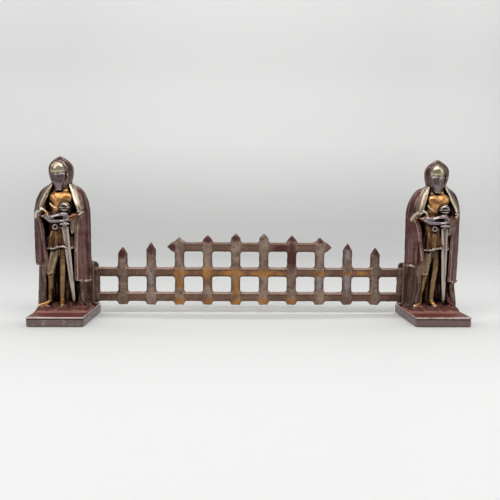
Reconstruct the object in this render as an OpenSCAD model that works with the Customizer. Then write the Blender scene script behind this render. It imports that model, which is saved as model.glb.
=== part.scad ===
// Cast iron fire front for an open hearth. Two knight fire dogs stand at the ends,
// and a portcullis fret drops into a slotted post behind each of them.
// The front looks along -Y, the floor is Z = 0, and X = 0 lies midway between the dogs.

/* [Fire front] */
// Overall width over both plinths
overall_w = 612; // [560:1:660]

/* [Plinth] */
// Width of a plinth
plinth_w = 78; // [76:0.5:84]
// Depth of a plinth from front to back
plinth_d = 102; // [100:0.5:112]
// Height of a plinth
plinth_h = 14; // [13:0.5:20]
// Thickness of its side walls
plinth_wall = 5; // [4:0.5:6]
// Thickness of its top plate
plinth_plate = 6; // [5:0.5:7]
// Thickness of the cross ribs underneath
plinth_rib = 4; // [3:0.5:6]
// Radius of its corners and top edges
plinth_r = 3; // [1.5:0.5:4]

/* [Ground mound] */
// Height of the low mound that the figure stands on
mound_h = 7; // [5:0.5:9]
// Half width of the mound where it meets the plinth
mound_half_w = 36; // [34:0.5:37]

/* [Knight] */
// Overall height of a dog, from the floor to the top of the helmet
dog_h = 233; // [215:1:250]
// Height of the skirt hem above the plinth
hem_z = 92; // [88:0.5:96]
// Height of the belt
belt_z = 121; // [117:0.5:123]
// Height of the elbows
elbow_z = 139; // [136:0.5:142]
// Height of the shoulders
shoulder_z = 160; // [157:0.5:163]
// Height of the flat neck that the helmet sits on
neck_z = 176; // [174:0.5:178]
// Width across the skirt hem
skirt_w = 51; // [46:0.5:53]
// Depth of the skirt in front of the figure's axis
skirt_front = 19; // [16:0.5:20]
// Width across the waist
waist_w = 36; // [32:0.5:40]
// Width across the breastplate
chest_w = 43; // [38:0.5:46]
// Reach of the breastplate in front of the axis
chest_front = 17; // [14:0.5:18]
// Radius of the neck
neck_r = 11.5; // [10:0.5:12]
// Radius of a thigh
thigh_r = 8; // [7:0.25:9]
// Radius of an ankle
ankle_r = 4.5; // [3.5:0.25:5.5]
// Radius of a foot at its toe
toe_r = 2.6; // [2:0.1:3.4]
// Radius of an upper arm
arm_r = 8.5; // [7:0.25:9.5]
// Radius of the flared gauntlet cuff
cuff_r = 7.5; // [6.5:0.25:8.5]
// Radius of a closed fist
fist_r = 5.8; // [5:0.1:6.6]
// Outer radius of the belt ring
ring_r = 4; // [3:0.25:5]

/* [Cloak] */
// Gap between the back of the cloak and the socket post
cloak_gap = 2.5; // [1.5:0.25:4]
// Width across the cloak
cloak_w = 79; // [76:0.5:82]
// Reach of the cloak in front of the figure's axis
cloak_front = 20; // [18:0.5:22]
// Reach of the cloak behind the axis
cloak_back = 25; // [23:0.5:26]
// Wall of the cloak casting
cloak_wall = 6; // [5.5:0.25:7]
// Top of the cloak at the collar
collar_z = 183; // [181:0.5:185]
// Hem height of the panel on the viewer's left
left_hem_z = 65; // [60:0.5:70]
// Hem height of the panel on the viewer's right
right_hem_z = 43; // [38:0.5:50]
// Number of vertical folds round the cloak
fold_count = 15; // [12:1:17]
// Depth of a fold
fold_depth = 1.8; // [1:0.1:2.2]
// Radius of the rolled edge down each front panel
edge_r = 2.3; // [1.6:0.1:3]

/* [Helmet] */
// Height of the helmet from chin to apex
helmet_h = 48; // [44:0.5:52]
// Width across the helmet
helmet_w = 34.5; // [32:0.5:38]
// Depth of the helmet in front of its axis
helmet_front = 19; // [17:0.5:21]
// Depth of the helmet behind its axis
helmet_back = 17; // [15:0.5:19]
// How far the visor plate stands proud
visor_proud = 1.2; // [0.6:0.1:2]
// Width across the visor at the brow
visor_w = 22; // [19:0.5:25]

/* [Sword] */
// Width of the blade at the guard
blade_w = 9.5; // [8:0.25:11]
// Thickness of the blade
blade_t = 3.2; // [2.5:0.1:4]
// Height of the blade's upper end above the plinth
guard_z = 118; // [115:0.5:120]
// Length of the cross guard
guard_l = 15; // [12:0.5:18]
// Width of the domed pommel
pommel_w = 17; // [14:0.5:19]
// Height of the domed pommel
pommel_h = 10; // [8:0.5:12]

/* [Socket post] */
// Width of the post along the fret
post_w = 32; // [30:0.5:34]
// Distance from the plinth's inner side to the post's inner face
post_inset = 1; // [0:0.25:2]
// Depth of the post
post_d = 16.5; // [15:0.25:17.5]
// Height of its inner edge above the plinth
post_h = 63; // [60:0.5:66]
// Height of its shoulder behind the cloak
post_rise = 12; // [8:0.5:16]
// Gap from the back of the post to the back of the plinth
post_setback = 4; // [3:0.25:5]

/* [Fret] */
// Number of pickets
picket_count = 10; // [8:1:10]
// Distance between picket centres
picket_pitch = 42.6; // [38:0.1:44]
// Number of middle pickets that the upper rail joins
crown_count = 6; // [4:2:6]
// Width of the pickets and rails
bar_w = 14; // [12:0.5:16]
// Thickness of the pickets and rails
bar_t = 8; // [7:0.5:9]
// Width of the flat front face of a bar
bar_face = 7; // [5:0.5:9]
// Depth of the bevels beside that face
bevel_d = 3; // [2:0.25:4]
// Height of the picket feet above the floor
foot_z = 14; // [10:0.5:18]
// Depth of the tapered foot below the lower rail
foot_h = 5; // [4:0.5:7]
// Height of the lower rail's centre
lower_rail_z = 26; // [25:0.5:30]
// Height of the middle rail's centre
middle_rail_z = 63.8; // [58:0.2:66]
// Height of the upper rail's centre
upper_rail_z = 102; // [96:0.5:106]
// How far the upper rail's spear ends pass the last crown picket
spear_reach = 18.5; // [14:0.5:20]
// Height of the middle picket tips
crown_z = 123.2; // [120:0.2:130]
// Fall of the tips from one crown picket to the next
crown_step = 2.9; // [1:0.1:3.5]
// Height of the highest free picket tip
side_z = 108.9; // [106:0.1:112]
// Fall from one free picket to the next
side_step = 6.4; // [3:0.1:8]
// Length of a free picket's point
point_h = 11; // [9:0.5:13]
// Length of a crown picket's point
crown_point_h = 7.5; // [6:0.5:9]

/* [Tongue and slot] */
// How far a rail passes the inner face of a post
rail_lap = 3; // [2:0.25:4]
// How far the tongue reaches into the post
tongue_reach = 9; // [7:0.5:10]
// Thickness of the tongue
tongue_t = 5; // [4:0.25:5.5]
// Running clearance all round the tongue and rails
slot_gap = 0.4; // [0.3:0.05:0.6]

/* [Fasteners] */
// Shank diameter of every screw
screw_d = 5; // [4:0.5:5]
// Diameter of the screw heads
screw_head_d = 9; // [8:0.5:9.5]
// Height of the screw heads
screw_head_h = 3; // [2.5:0.25:3.5]
// Clearance round the shanks
screw_gap = 0.2; // [0.1:0.05:0.3]
// Clearance between castings that are fitted together
cast_gap = 0.3; // [0.2:0.05:0.4]

/* [Hidden] */

iron_grey = [0.42, 0.36, 0.33];
maroon = [0.36, 0.2, 0.2];
gold_brown = [0.52, 0.36, 0.2];
mauve = [0.4, 0.3, 0.31];
silver_lilac = [0.6, 0.55, 0.58];
steel = [0.5, 0.5, 0.52];

// Places that several pieces share
dog_x = overall_w / 2 - plinth_w / 2;
axis_x = -2;
axis_y = 3;
chin_z = neck_z - 5;
brow_z = chin_z + helmet_h / 2;
chest_z = (belt_z + shoulder_z) / 2 + 8;
fist_z = elbow_z - 5;
pommel_z = fist_z + 12;
sword_x = 8;
sword_y = -20;
tip_x = 15.5;
tip_y = -8;
boss_zs = [chest_z, hem_z + 8];
full_turn = 360;
boss_r = 6;
boss_y = axis_y + cloak_back - cloak_wall - 2;
cloak_seat_y = boss_y + 5;
post_back_y = plinth_d / 2 - post_setback;
post_front_y = post_back_y - post_d;
post_in_x = plinth_w / 2 - post_inset;
// The figure is drawn round its own origin, then stretched to the dog's height and moved
// so that the cloak clears the post
figure_y = post_front_y - axis_y - cloak_back - cloak_gap;
rise = (dog_h - plinth_h) / (chin_z + helmet_h);
fret_y = post_front_y + post_d / 2;
tongue_z0 = lower_rail_z - bar_w / 2;
tongue_z1 = middle_rail_z + bar_w / 2;
fret_half = dog_x - post_in_x;
body_screw_x = 15;
body_screw_y = 9;
cloak_screw_l = 15;
screw_hole_d = screw_d + 2 * screw_gap;
smooth = 12;

// Half width of the cloak at a height above the plinth
function cloak_half(z) = cloak_w / 2 * lookup(z, [
    [right_hem_z, 0.96], [left_hem_z, 0.98], [hem_z, 1], [elbow_z, 1], [shoulder_z - 3, 0.93],
    [shoulder_z + 8, 0.82], [shoulder_z + 14, 0.75], [shoulder_z + 19, 0.6], [collar_z, 0.42]]);

// Sideways lean of the cloak, a little to the viewer's right at the shoulders
function cloak_lean(z) = lookup(z, [[elbow_z, 0], [shoulder_z + 8, 1], [collar_z, 0.6]]);

// Share of the cloak's full depth at a height, drawn in over the shoulders
function cloak_depth(z) = lookup(z, [
    [right_hem_z, 0.96], [elbow_z, 1], [shoulder_z + 8, 0.85], [collar_z - 4, 0.7], [collar_z, 0.6]]);

// Angle of a front edge from the middle of the front, widest where the elbows come through
function cloak_open(side, z) = lookup(z, [
    [left_hem_z, side < 0 ? 31 : 39], [hem_z + 10, 35], [elbow_z - 9, 42], [elbow_z + 1, 60],
    [elbow_z + 12, 50], [collar_z - 12, 24], [collar_z, 18]]);

// Fold relief, from nothing at the shoulders to full depth at the hem
function fold_at(t, z) = fold_depth * lookup(z, [[left_hem_z, 1], [shoulder_z, 0.45], [collar_z, 0]])
    * (cos(fold_count * t) + 0.35 * cos(2.3 * fold_count * t + z)) / 1.35;

// A point on the cloak at angle t, with the front at -90 degrees
function cloak_point(t, z, inset) =
    let (reach = (sin(t) < 0 ? cloak_front : cloak_back) * cloak_depth(z), f = fold_at(t, z) - inset)
    [axis_x + cloak_lean(z) + (cloak_half(z) - fold_depth + f) * cos(t),
        axis_y + (reach - fold_depth + f) * sin(t), z];

// Height of the hem, low on the viewer's right and rising round the back to the left
hem_start = -60;
function hem_at(t) = lookup(t, [[10, right_hem_z], [170, left_hem_z]]);

// The ridged lining under the hems. It stands on the mound, and above the hems its face lies
// inside the wall of the cloak, so the two are one casting.
lining_ridge = 0.7;
lining_opening = 42;
function lining_half(z) = lookup(z, [[mound_h, 0.46 * cloak_w], [mound_h + 10, 0.455 * cloak_w],
    [mound_h + 18, 0.42 * cloak_w], [right_hem_z - 6, 0.415 * cloak_w],
    [left_hem_z, cloak_half(left_hem_z) - 2 * fold_depth - 0.8],
    [hem_z, cloak_half(hem_z) - 2 * fold_depth - 0.8]]);
function lining_point(t, z, inset) =
    let (reach = (sin(t) < 0 ? cloak_front : cloak_back) * cloak_depth(z) - 2 * fold_depth - 0.8,
        f = lining_ridge * cos(20 * t) - inset)
    [axis_x + (lining_half(z) + f) * cos(t), axis_y + (reach + f) * sin(t), z];

// A closed oval ring with its own reach in front of and behind the axis
function oval(cx, cy, half, front, back, z, n = 28) = [for (i = [0:n - 1])
    let (t = full_turn * i / n) [cx + half * cos(t), cy + (sin(t) < 0 ? front : back) * sin(t), z]];

// Lofts a solid through rings of points. A shell ring holds its outer points, then its inner
// points on the way back, so its ends close as strips.
module loft(rings, shell = false) {
    n = len(rings[0]);
    last = (len(rings) - 1) * n;
    points = [for (ring = rings) each ring];
    sides = [for (j = [0:len(rings) - 2], i = [0:n - 1]) each
        let (a = j * n + i, b = j * n + (i + 1) % n) [[a, a + n, b + n], [a, b + n, b]]];
    strips = [for (i = [0:n / 2 - 2]) [i, i + 1, n - 2 - i, n - 1 - i]];
    lower = shell ? [for (q = strips) each [[q[0], q[1], q[2]], [q[0], q[2], q[3]]]]
        : [[for (i = [0:n - 1]) i]];
    upper = [for (f = lower) [for (i = [len(f) - 1:-1:0]) f[i] + last]];
    polyhedron(points, concat(lower, sides, upper), convexity = 12);
}

// A limb that runs through a list of [point, radius] stations
module limb(stations, grow = 0, facets = smooth) {
    for (i = [0:len(stations) - 2])
        hull() {
            translate(stations[i][0]) sphere(stations[i][1] + grow, $fn = facets);
            translate(stations[i + 1][0]) sphere(stations[i + 1][1] + grow, $fn = facets);
        }
}

// Puts a dog's piece on the left (-1) or right (1) plinth
module on_dog(side) {
    translate([side * dog_x, 0, 0]) children();
}

// Stands a form of the figure on the plinth's top at the dog's full height
module standing() {
    translate([0, figure_y, plinth_h]) scale([1, 1, rise]) children();
}

// Places the screws through the cloak's back, with their axes along +Y from the cloak's seats
module at_cloak_screws() {
    for (z = boss_zs)
        translate([axis_x, figure_y + cloak_seat_y, plinth_h + rise * z]) rotate([-90, 0, 0]) children();
}

// A rounded rectangle with its lower left corner at the origin
module soft_rectangle(w, h, r) {
    translate([r, 0]) square([w - 2 * r, h]);
    translate([0, r]) square([w, h - 2 * r]);
    for (x = [r, w - r], y = [r, h - r])
        translate([x, y]) circle(r, $fn = 32);
}

// Hollow plinth casting with rounded top edges and a cross of ribs underneath
module plinth(side) {
    cell_w = (plinth_w - 2 * plinth_wall - plinth_rib) / 2;
    cell_d = (plinth_d - 2 * plinth_wall - plinth_rib) / 2;
    color(maroon)
    difference() {
        intersection() {
            translate([-plinth_w / 2, -plinth_d / 2, 0])
                linear_extrude(plinth_h) soft_rectangle(plinth_w, plinth_d, plinth_r);
            translate([-plinth_w / 2, plinth_d / 2 + 1, -plinth_h])
                rotate([90, 0, 0])
                linear_extrude(plinth_d + 2) soft_rectangle(plinth_w, 2 * plinth_h, plinth_r);
            translate([-plinth_w / 2 - 1, -plinth_d / 2, -plinth_h])
                rotate([90, 0, 90])
                linear_extrude(plinth_w + 2) soft_rectangle(plinth_d, 2 * plinth_h, plinth_r);
        }
        for (i = [-1, 1], j = [-1, 1])
            translate([i * (cell_w + plinth_rib) / 2, j * (cell_d + plinth_rib) / 2, -1])
                translate([-cell_w / 2, -cell_d / 2, 0])
                cube([cell_w, cell_d, plinth_h - plinth_plate + 1]);
        screw_holes_up(body_screw_places());
        screw_holes_up(post_screw_places(side));
    }
}

function body_screw_places() = [for (i = [-1, 1])
    [axis_x + i * body_screw_x, figure_y + axis_y + body_screw_y]];
function post_screw_places(side) = [for (x = [post_in_x - post_w + 5.5, post_in_x - tongue_reach - 6])
    [-side * x, post_front_y + post_d / 2]];

// Clearance holes through the plinth's top plate
module screw_holes_up(places) {
    for (p = places)
        translate([p[0], p[1], plinth_h - plinth_plate - 1])
            cylinder(h = plinth_plate + 2, d = screw_hole_d, $fn = 32);
}

// Screws driven up from under the plinth, with their heads on the plate
module screws_up(places, bite) {
    color(steel)
    for (p = places)
        translate([p[0], p[1], plinth_h - plinth_plate - screw_head_h]) {
            cylinder(h = screw_head_h, d = screw_head_d, $fn = 32);
            cylinder(h = screw_head_h + plinth_plate + bite, d = screw_d, $fn = 32);
        }
}

// The knight's solid form in its own height, which the cloak is also cut to fit
module knight_form(grow = 0) {
    // Low mound that flares out to the plinth, gently sloped in front
    loft([for (q = [[0, 0, 25, 26.5], [0.35, 0.5, 22, 26.2], [0.75, 1, 18.5, 25.8], [1, 1.7, 16, 25.4]])
        oval(axis_x + 1, 2, mound_half_w - q[1] + grow, q[2] + grow, q[3] + grow,
            mound_h * q[0] + (q[0] == 1 ? grow : 0))]);
    // Solid web behind the legs
    translate([axis_x, axis_y + 7, 0]) cylinder(h = hem_z + 6, r = 10 + grow, $fn = 20);
    // Leg set forward on the viewer's left, with its foot turned out
    limb([[[-9, -1, hem_z + 4], thigh_r], [[-15, -9, hem_z - 33], thigh_r - 2.2],
        [[-18, -9, 34], thigh_r - 2.4], [[-20, -8, mound_h + 9], ankle_r]], grow);
    limb([[[-20, -8, mound_h + 5], ankle_r], [[-29, -15, mound_h + toe_r], toe_r]], grow);
    // Standing leg behind the sword
    limb([[[2, -1, hem_z + 4], thigh_r + 0.5], [[-1, -6, hem_z - 34], thigh_r - 1.6],
        [[-3, -5, mound_h + 12], ankle_r]], grow);
    limb([[[-3, -5, mound_h + 6], ankle_r], [[-0.5, -13, mound_h + toe_r], toe_r]], grow);
    // Trailing drapery toe on the viewer's right
    limb([[[24, -4, mound_h + 12], ankle_r], [[25, -9, mound_h + 4], ankle_r],
        [[28, -15, mound_h + toe_r], toe_r]], grow);
    // Skirt, belt, breastplate and neck
    loft([
        oval(axis_x, 1, skirt_w / 2 + grow, skirt_front + grow, 13 + grow, hem_z - grow),
        oval(axis_x, 1, skirt_w / 2 - 0.6 + grow, skirt_front - 0.8 + grow, 13 + grow, hem_z + 2.5),
        oval(axis_x, 1, (skirt_w + waist_w) / 4 + grow, skirt_front - 2 + grow, 12 + grow, belt_z - 7),
        oval(axis_x, 1, waist_w / 2 + grow, 14.5 + grow, 11 + grow, belt_z - 3),
        oval(axis_x, 1, waist_w / 2 + 1.2 + grow, 16 + grow, 12 + grow, belt_z),
        oval(axis_x, 1, waist_w / 2 + grow, 14.5 + grow, 11 + grow, belt_z + 3),
        oval(axis_x, 1, chest_w / 2 - 1 + grow, chest_front - 1 + grow, 12 + grow, chest_z - 12),
        oval(axis_x, 1, chest_w / 2 + grow, chest_front + grow, 12 + grow, chest_z),
        oval(axis_x, 1, chest_w / 2 - 2 + grow, chest_front - 3 + grow, 11 + grow, shoulder_z + 3),
        oval(axis_x + 1, -1, neck_r + 3 + grow, neck_r + grow, neck_r + grow, neck_z - 7),
        oval(axis_x + 1, -1, neck_r + grow, neck_r + grow, neck_r + grow, neck_z)]);
    // Arms, flared cuffs and the two fists, one above the other
    limb([[[axis_x - 21, 4, shoulder_z], arm_r + 1], [[axis_x - 29, 0, elbow_z + 1], arm_r - 2.5]], grow);
    limb([[[axis_x + 21, 4, shoulder_z], arm_r + 1], [[axis_x + 29, 0, elbow_z + 1], arm_r - 2.5]], grow);
    limb([[[axis_x - 29, 0, elbow_z + 1], arm_r - 2.5], [[-22, -13, elbow_z - 2], cuff_r - 1.5],
        [[-8, -17, fist_z + 1], cuff_r - 2.5]], grow);
    limb([[[axis_x + 29, 0, elbow_z], arm_r - 2.5], [[22, -12, elbow_z - 5], cuff_r - 1],
        [[13, -17, fist_z - 4], cuff_r - 2.5]], grow);
    limb([[[-4, -18.5, fist_z + 1.5], fist_r - 0.6], [[9, -19.5, fist_z + 2], fist_r]], grow);
    limb([[[-2, -17.5, fist_z - 5], fist_r - 0.8], [[10, -19, fist_z - 5.5], fist_r - 0.4]], grow);
    // Bosses that carry the cloak
    for (z = boss_zs)
        translate([axis_x, 5, z]) rotate([-90, 0, 0])
            cylinder(h = boss_y - 5, r = boss_r + grow, $fn = 20);
}

// Knight casting: mound, legs, skirt, breastplate, arms and hands in one piece
module knight() {
    color(gold_brown)
    difference() {
        standing() difference() {
            union() {
                knight_form();
                // Ring on the belt
                translate([-6, -14.7, belt_z]) rotate([90, 0, 8])
                    rotate_extrude($fn = 16) translate([ring_r - 1, 0]) circle(1.2, $fn = 8);
            }
            sword_form(cast_gap);
            helmet_form(cast_gap);
        }
        for (p = body_screw_places())
            translate([p[0], p[1], plinth_h - 1]) cylinder(h = mound_h, d = screw_hole_d, $fn = 24);
        at_cloak_screws()
            translate([0, 0, -cloak_screw_l - 2]) cylinder(h = cloak_screw_l + 4, d = screw_hole_d, $fn = 24);
    }
}

// Cloak casting: a folded shell over the shoulders, its lining and the rolled front edges
module cloak() {
    color(mauve)
    difference() {
        standing() difference() {
            union() {
                cloak_shell();
                // Pads inside the back that sit on the knight's bosses
                for (z = boss_zs)
                    translate([axis_x, boss_y - 0.5, z]) rotate([-90, 0, 0])
                        cylinder(h = cloak_seat_y - boss_y, r = boss_r + 1, $fn = 24);
            }
            knight_form(cast_gap);
            helmet_form(cast_gap);
            sword_form(cast_gap);
            // Everything stays above the mound
            translate([-cloak_w, -cloak_w, -1]) cube([2 * cloak_w, 2 * cloak_w, 1 + mound_h + cast_gap]);
        }
        // Flat seats and holes for the two screws at the back
        at_cloak_screws() {
            cylinder(h = 20, r = screw_head_d / 2 + 1, $fn = 24);
            translate([0, 0, -cloak_screw_l - 4]) cylinder(h = cloak_screw_l + 8, d = screw_hole_d, $fn = 24);
        }
    }
}

// The folded shell, the lining below it and the rolled front edges
module cloak_shell() {
    n = 40;
    levels = 13;
    edge_zs = [hem_z + 10, elbow_z - 9, elbow_z + 1, elbow_z + 12, collar_z - 12, collar_z - 3];
    loft([for (j = [0:levels - 1]) [for (k = [0:2 * n - 1])
        let (i = k < n ? k : 2 * n - 1 - k, v = j / (levels - 1),
            z0 = hem_at(hem_start + (180 - 2 * hem_start) * i / (n - 1)), z = z0 + (collar_z - z0) * v,
            t0 = cloak_open(1, z) - 90, t1 = 270 - cloak_open(-1, z), t = t0 + (t1 - t0) * i / (n - 1))
        cloak_point(t, z, k < n ? 0 : cloak_wall)]], shell = true);
    loft([for (z = [mound_h, mound_h + 9, right_hem_z - 8, left_hem_z, hem_z]) [for (k = [0:2 * n - 1])
        let (i = k < n ? k : 2 * n - 1 - k,
            t = lining_opening - 90 + (full_turn - 2 * lining_opening) * i / (n - 1))
        lining_point(t, z, k < n ? 0 : cloak_wall + 2)]], shell = true);
    for (s = [-1, 1])
        limb([for (z = concat(s < 0 ? [left_hem_z, hem_z] : [right_hem_z, hem_z - 15], edge_zs))
            [cloak_point(-90 + s * cloak_open(s, z), z, edge_r), edge_r]], facets = 8);
}

// Screws that hold the cloak to the bosses on the knight's back
module cloak_screws() {
    color(steel)
    at_cloak_screws() {
        cylinder(h = screw_head_h, d = screw_head_d, $fn = 32);
        translate([0, 0, 1 - cloak_screw_l]) cylinder(h = cloak_screw_l, d = screw_d, $fn = 32);
    }
}

// Helmet outline: half width as a share of the full half width at a height above the chin
function helmet_share(k) = lookup(k, [[0.1, 0.77], [0.3, 0.85], [0.42, 0.93], [0.53, 0.98], [0.65, 1],
    [0.77, 0.91], [0.87, 0.72], [0.94, 0.45], [0.98, 0.22], [1, 0.05]]);

module helmet_form(grow = 0) {
    cx = axis_x + 1.4;
    cy = -1.5;
    loft([for (k = [0.1, 0.2, 0.3, 0.42, 0.53, 0.65, 0.77, 0.87, 0.94, 0.98, 1])
        let (s = helmet_share(k))
        oval(cx, cy, helmet_w / 2 * s + grow, helmet_front * s + grow, helmet_back * s + grow,
            chin_z + helmet_h * k + (k == 0.1 ? -grow : k == 1 ? grow : 0), 28)]);
    // Visor plate that tapers to the chin
    hull() {
        for (x = [-1, 1]) {
            translate([cx + x * (visor_w / 2 - 2), cy - helmet_front * 0.78 - visor_proud, brow_z - 2])
                sphere(2 + grow, $fn = smooth);
            translate([cx + x * (visor_w / 2 - 3), cy - helmet_front * 0.66 - visor_proud, chin_z + 11])
                sphere(2 + grow, $fn = smooth);
        }
        translate([cx, cy - helmet_front - visor_proud + 2, brow_z - 4]) sphere(2 + grow, $fn = smooth);
        translate([cx, cy - helmet_front * 0.78, chin_z + 3]) sphere(3 + grow, $fn = smooth);
        translate([cx, cy, chin_z + 16]) sphere(6, $fn = smooth);
    }
}

// Helmet casting with its closed visor, flat underneath where it sits on the neck
module helmet() {
    color(silver_lilac) standing() helmet_form();
}

module sword_form(grow = 0) {
    lean = [tip_x - sword_x, tip_y - sword_y, mound_h - guard_z];
    // Tapered blade down to the mound
    hull() {
        translate([sword_x, sword_y, guard_z])
            cube([blade_w, blade_t, 1] + 2 * grow * [1, 1, 1], center = true);
        translate([sword_x, sword_y, guard_z] + 0.75 * lean)
            cube([blade_w * 0.7, blade_t * 0.9, 1] + 2 * grow * [1, 1, 1], center = true);
        translate([tip_x, tip_y, mound_h]) cylinder(h = 1, r = 0.8 + grow, $fn = 16);
    }
    // Cross guard
    translate([sword_x, sword_y, guard_z + 2])
        cube([guard_l, blade_t + 2, 4] + 2 * grow * [1, 1, 1], center = true);
    // Grip between the fists
    translate([sword_x, sword_y, guard_z]) cylinder(h = pommel_z - guard_z, r = 2.6 + grow, $fn = 24);
    // Domed pommel on a collar
    translate([sword_x - 1, sword_y + 2, pommel_z - 2]) cylinder(h = 3, r = 4.5 + grow, $fn = 24);
    translate([sword_x - 1, sword_y + 2, pommel_z - grow])
        rotate_extrude($fn = 32)
        intersection() {
            translate([0, pommel_h - pommel_w / 2]) circle(pommel_w / 2 + grow, $fn = 48);
            square([pommel_w, pommel_h + 2 * grow]);
        }
}

// Sword held point down, with its tip on the mound
module sword() {
    color(silver_lilac) standing() sword_form();
}

// Slotted post on the inner side of a dog. The slot is open at the top and the inner face,
// and its front cheek is cut back so that the rails lap over it.
module socket_post(side) {
    x0 = post_in_x - post_w;
    floor_z = tongue_z0 - plinth_h;
    high = post_h + post_rise;
    color(iron_grey)
    translate([0, 0, plinth_h])
    difference() {
        scale([-side, 1, 1])
        translate([0, post_back_y, 0]) rotate([90, 0, 0]) linear_extrude(post_d)
            polygon([[x0, 0], [post_in_x, 0],
                [post_in_x, post_h - 4], [post_in_x - 1.5, post_h - 0.5], [post_in_x - 5, post_h + 2],
                [post_in_x - 7.5, high - 4], [post_in_x - 12, high], [x0, high]]);
        // Slot for the tongue
        scale([-side, 1, 1])
        translate([post_in_x - tongue_reach - slot_gap, fret_y - tongue_t / 2 - slot_gap, floor_z])
            cube([tongue_reach + 2, tongue_t + 2 * slot_gap, high]);
        // Rebate in front of the slot for the rail ends
        scale([-side, 1, 1])
        translate([post_in_x - rail_lap - slot_gap, post_front_y - 1, floor_z])
            cube([rail_lap + 2, fret_y - post_front_y + 1, high]);
        // Clearance for the back of the rails
        scale([-side, 1, 1])
        translate([post_in_x - rail_lap - slot_gap, fret_y - 1, floor_z])
            cube([rail_lap + 2, bar_t / 2 + slot_gap + 1, high]);
        for (p = post_screw_places(side))
            translate([p[0], p[1], -1]) cylinder(h = 13, d = screw_hole_d, $fn = 32);
    }
}

// A bar with a bevelled spear point, standing from z0 up to its tip at z1
module picket(z0, z1, point) {
    slope = atan(bar_w / 2 / point);
    face_tip = z1 - (bar_w - bar_face) / 2 / sin(slope);
    hull() {
        translate([0, bar_t, 0]) rotate([90, 0, 0]) linear_extrude(bar_t - bevel_d)
            spear_outline(bar_w / 2, z0, z1 - point, z1);
        translate([0, bevel_d, 0]) rotate([90, 0, 0]) linear_extrude(bevel_d)
            spear_outline(bar_face / 2, z0, face_tip - bar_face / 2 / tan(slope), face_tip);
    }
}

module spear_outline(half, z0, shoulder, tip) {
    polygon([[-half, z0], [half, z0], [half, shoulder], [0, tip], [-half, shoulder]]);
}

// A rail along X, centred on X = 0
module rail(z, half) {
    translate([-half, 0, z]) rotate([90, 0, 90]) linear_extrude(2 * half)
        polygon([[bar_t, -bar_w / 2], [bar_t, bar_w / 2], [bevel_d, bar_w / 2],
            [0, bar_face / 2], [0, -bar_face / 2], [bevel_d, -bar_w / 2]]);
}

// Height of a picket's tip, counted in pitches from the middle of the fret
function tip_z(d) = d < crown_count / 2 ? crown_z - crown_step * (d - 0.5)
    : side_z - side_step * (d - crown_count / 2 - 0.5);

// Portcullis fret casting: pickets, three rails and an end tongue on each side
module fret() {
    crown_half = (crown_count - 1) / 2 * picket_pitch;
    color(iron_grey)
    translate([0, fret_y - bar_t / 2, 0]) {
        for (i = [0:picket_count - 1]) {
            d = abs(i - (picket_count - 1) / 2);
            point = d < crown_count / 2 ? crown_point_h : point_h;
            translate([(i - (picket_count - 1) / 2) * picket_pitch, 0, 0]) {
                picket(tongue_z0, tip_z(d), point);
                // Tapered foot under the lower rail
                translate([0, bar_t, 0]) rotate([90, 0, 0]) linear_extrude(bar_t - 1)
                    polygon([[-bar_w / 2 - 1.5, foot_z + foot_h + 1], [bar_w / 2 + 1.5, foot_z + foot_h + 1],
                        [bar_w / 2 - 0.6, foot_z], [0.6 - bar_w / 2, foot_z]]);
            }
        }
        rail(lower_rail_z, fret_half + rail_lap);
        rail(middle_rail_z, fret_half + rail_lap);
        rail(upper_rail_z, crown_half + spear_reach - crown_point_h);
        for (s = [-1, 1]) {
            translate([s * (crown_half + spear_reach - crown_point_h - 1), 0, upper_rail_z])
                rotate([0, s * 90, 0]) picket(0, crown_point_h + 1, crown_point_h);
            translate([s * (fret_half + tongue_reach / 2), bar_t / 2, (tongue_z0 + tongue_z1) / 2])
                cube([tongue_reach, tongue_t, tongue_z1 - tongue_z0], center = true);
        }
    }
}

on_dog(-1) plinth(-1);  // left_plinth
on_dog(-1) knight();  // left_knight
on_dog(-1) cloak();  // left_cloak
on_dog(-1) helmet();  // left_helmet
on_dog(-1) sword();  // left_sword
on_dog(-1) socket_post(-1);  // left_socket_post
on_dog(-1) screws_up(body_screw_places(), mound_h - 2);  // left_body_screws
on_dog(-1) cloak_screws();  // left_cloak_screws
on_dog(-1) screws_up(post_screw_places(-1), 10);  // left_post_screws
on_dog(1) plinth(1);  // right_plinth
on_dog(1) knight();  // right_knight
on_dog(1) cloak();  // right_cloak
on_dog(1) helmet();  // right_helmet
on_dog(1) sword();  // right_sword
on_dog(1) socket_post(1);  // right_socket_post
on_dog(1) screws_up(body_screw_places(), mound_h - 2);  // right_body_screws
on_dog(1) cloak_screws();  // right_cloak_screws
on_dog(1) screws_up(post_screw_places(1), 10);  // right_post_screws
fret();
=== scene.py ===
"""Cast iron fire front: two knight fire dogs with a portcullis fret that lifts out of their posts."""

import math

import bpy
import numpy as np
from mathutils import Matrix, Vector


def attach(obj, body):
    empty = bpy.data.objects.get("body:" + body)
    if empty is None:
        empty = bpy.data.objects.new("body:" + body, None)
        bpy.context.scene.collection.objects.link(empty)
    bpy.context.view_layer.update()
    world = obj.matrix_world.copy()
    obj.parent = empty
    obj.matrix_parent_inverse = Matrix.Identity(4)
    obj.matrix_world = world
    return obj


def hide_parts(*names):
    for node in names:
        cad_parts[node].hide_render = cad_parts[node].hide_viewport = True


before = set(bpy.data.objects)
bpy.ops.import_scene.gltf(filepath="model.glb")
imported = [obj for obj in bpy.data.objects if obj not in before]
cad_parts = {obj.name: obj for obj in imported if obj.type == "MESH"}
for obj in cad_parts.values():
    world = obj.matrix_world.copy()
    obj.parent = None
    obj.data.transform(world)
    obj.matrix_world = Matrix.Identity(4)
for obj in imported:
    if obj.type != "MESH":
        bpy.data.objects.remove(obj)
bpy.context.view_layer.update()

# ---- Camera, table and light ----
# The front stands on a white paper sweep in a light tent. The camera looks slightly down at it,
# from a little left of the middle. Its angles are in radians.
MM = 0.001
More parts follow.
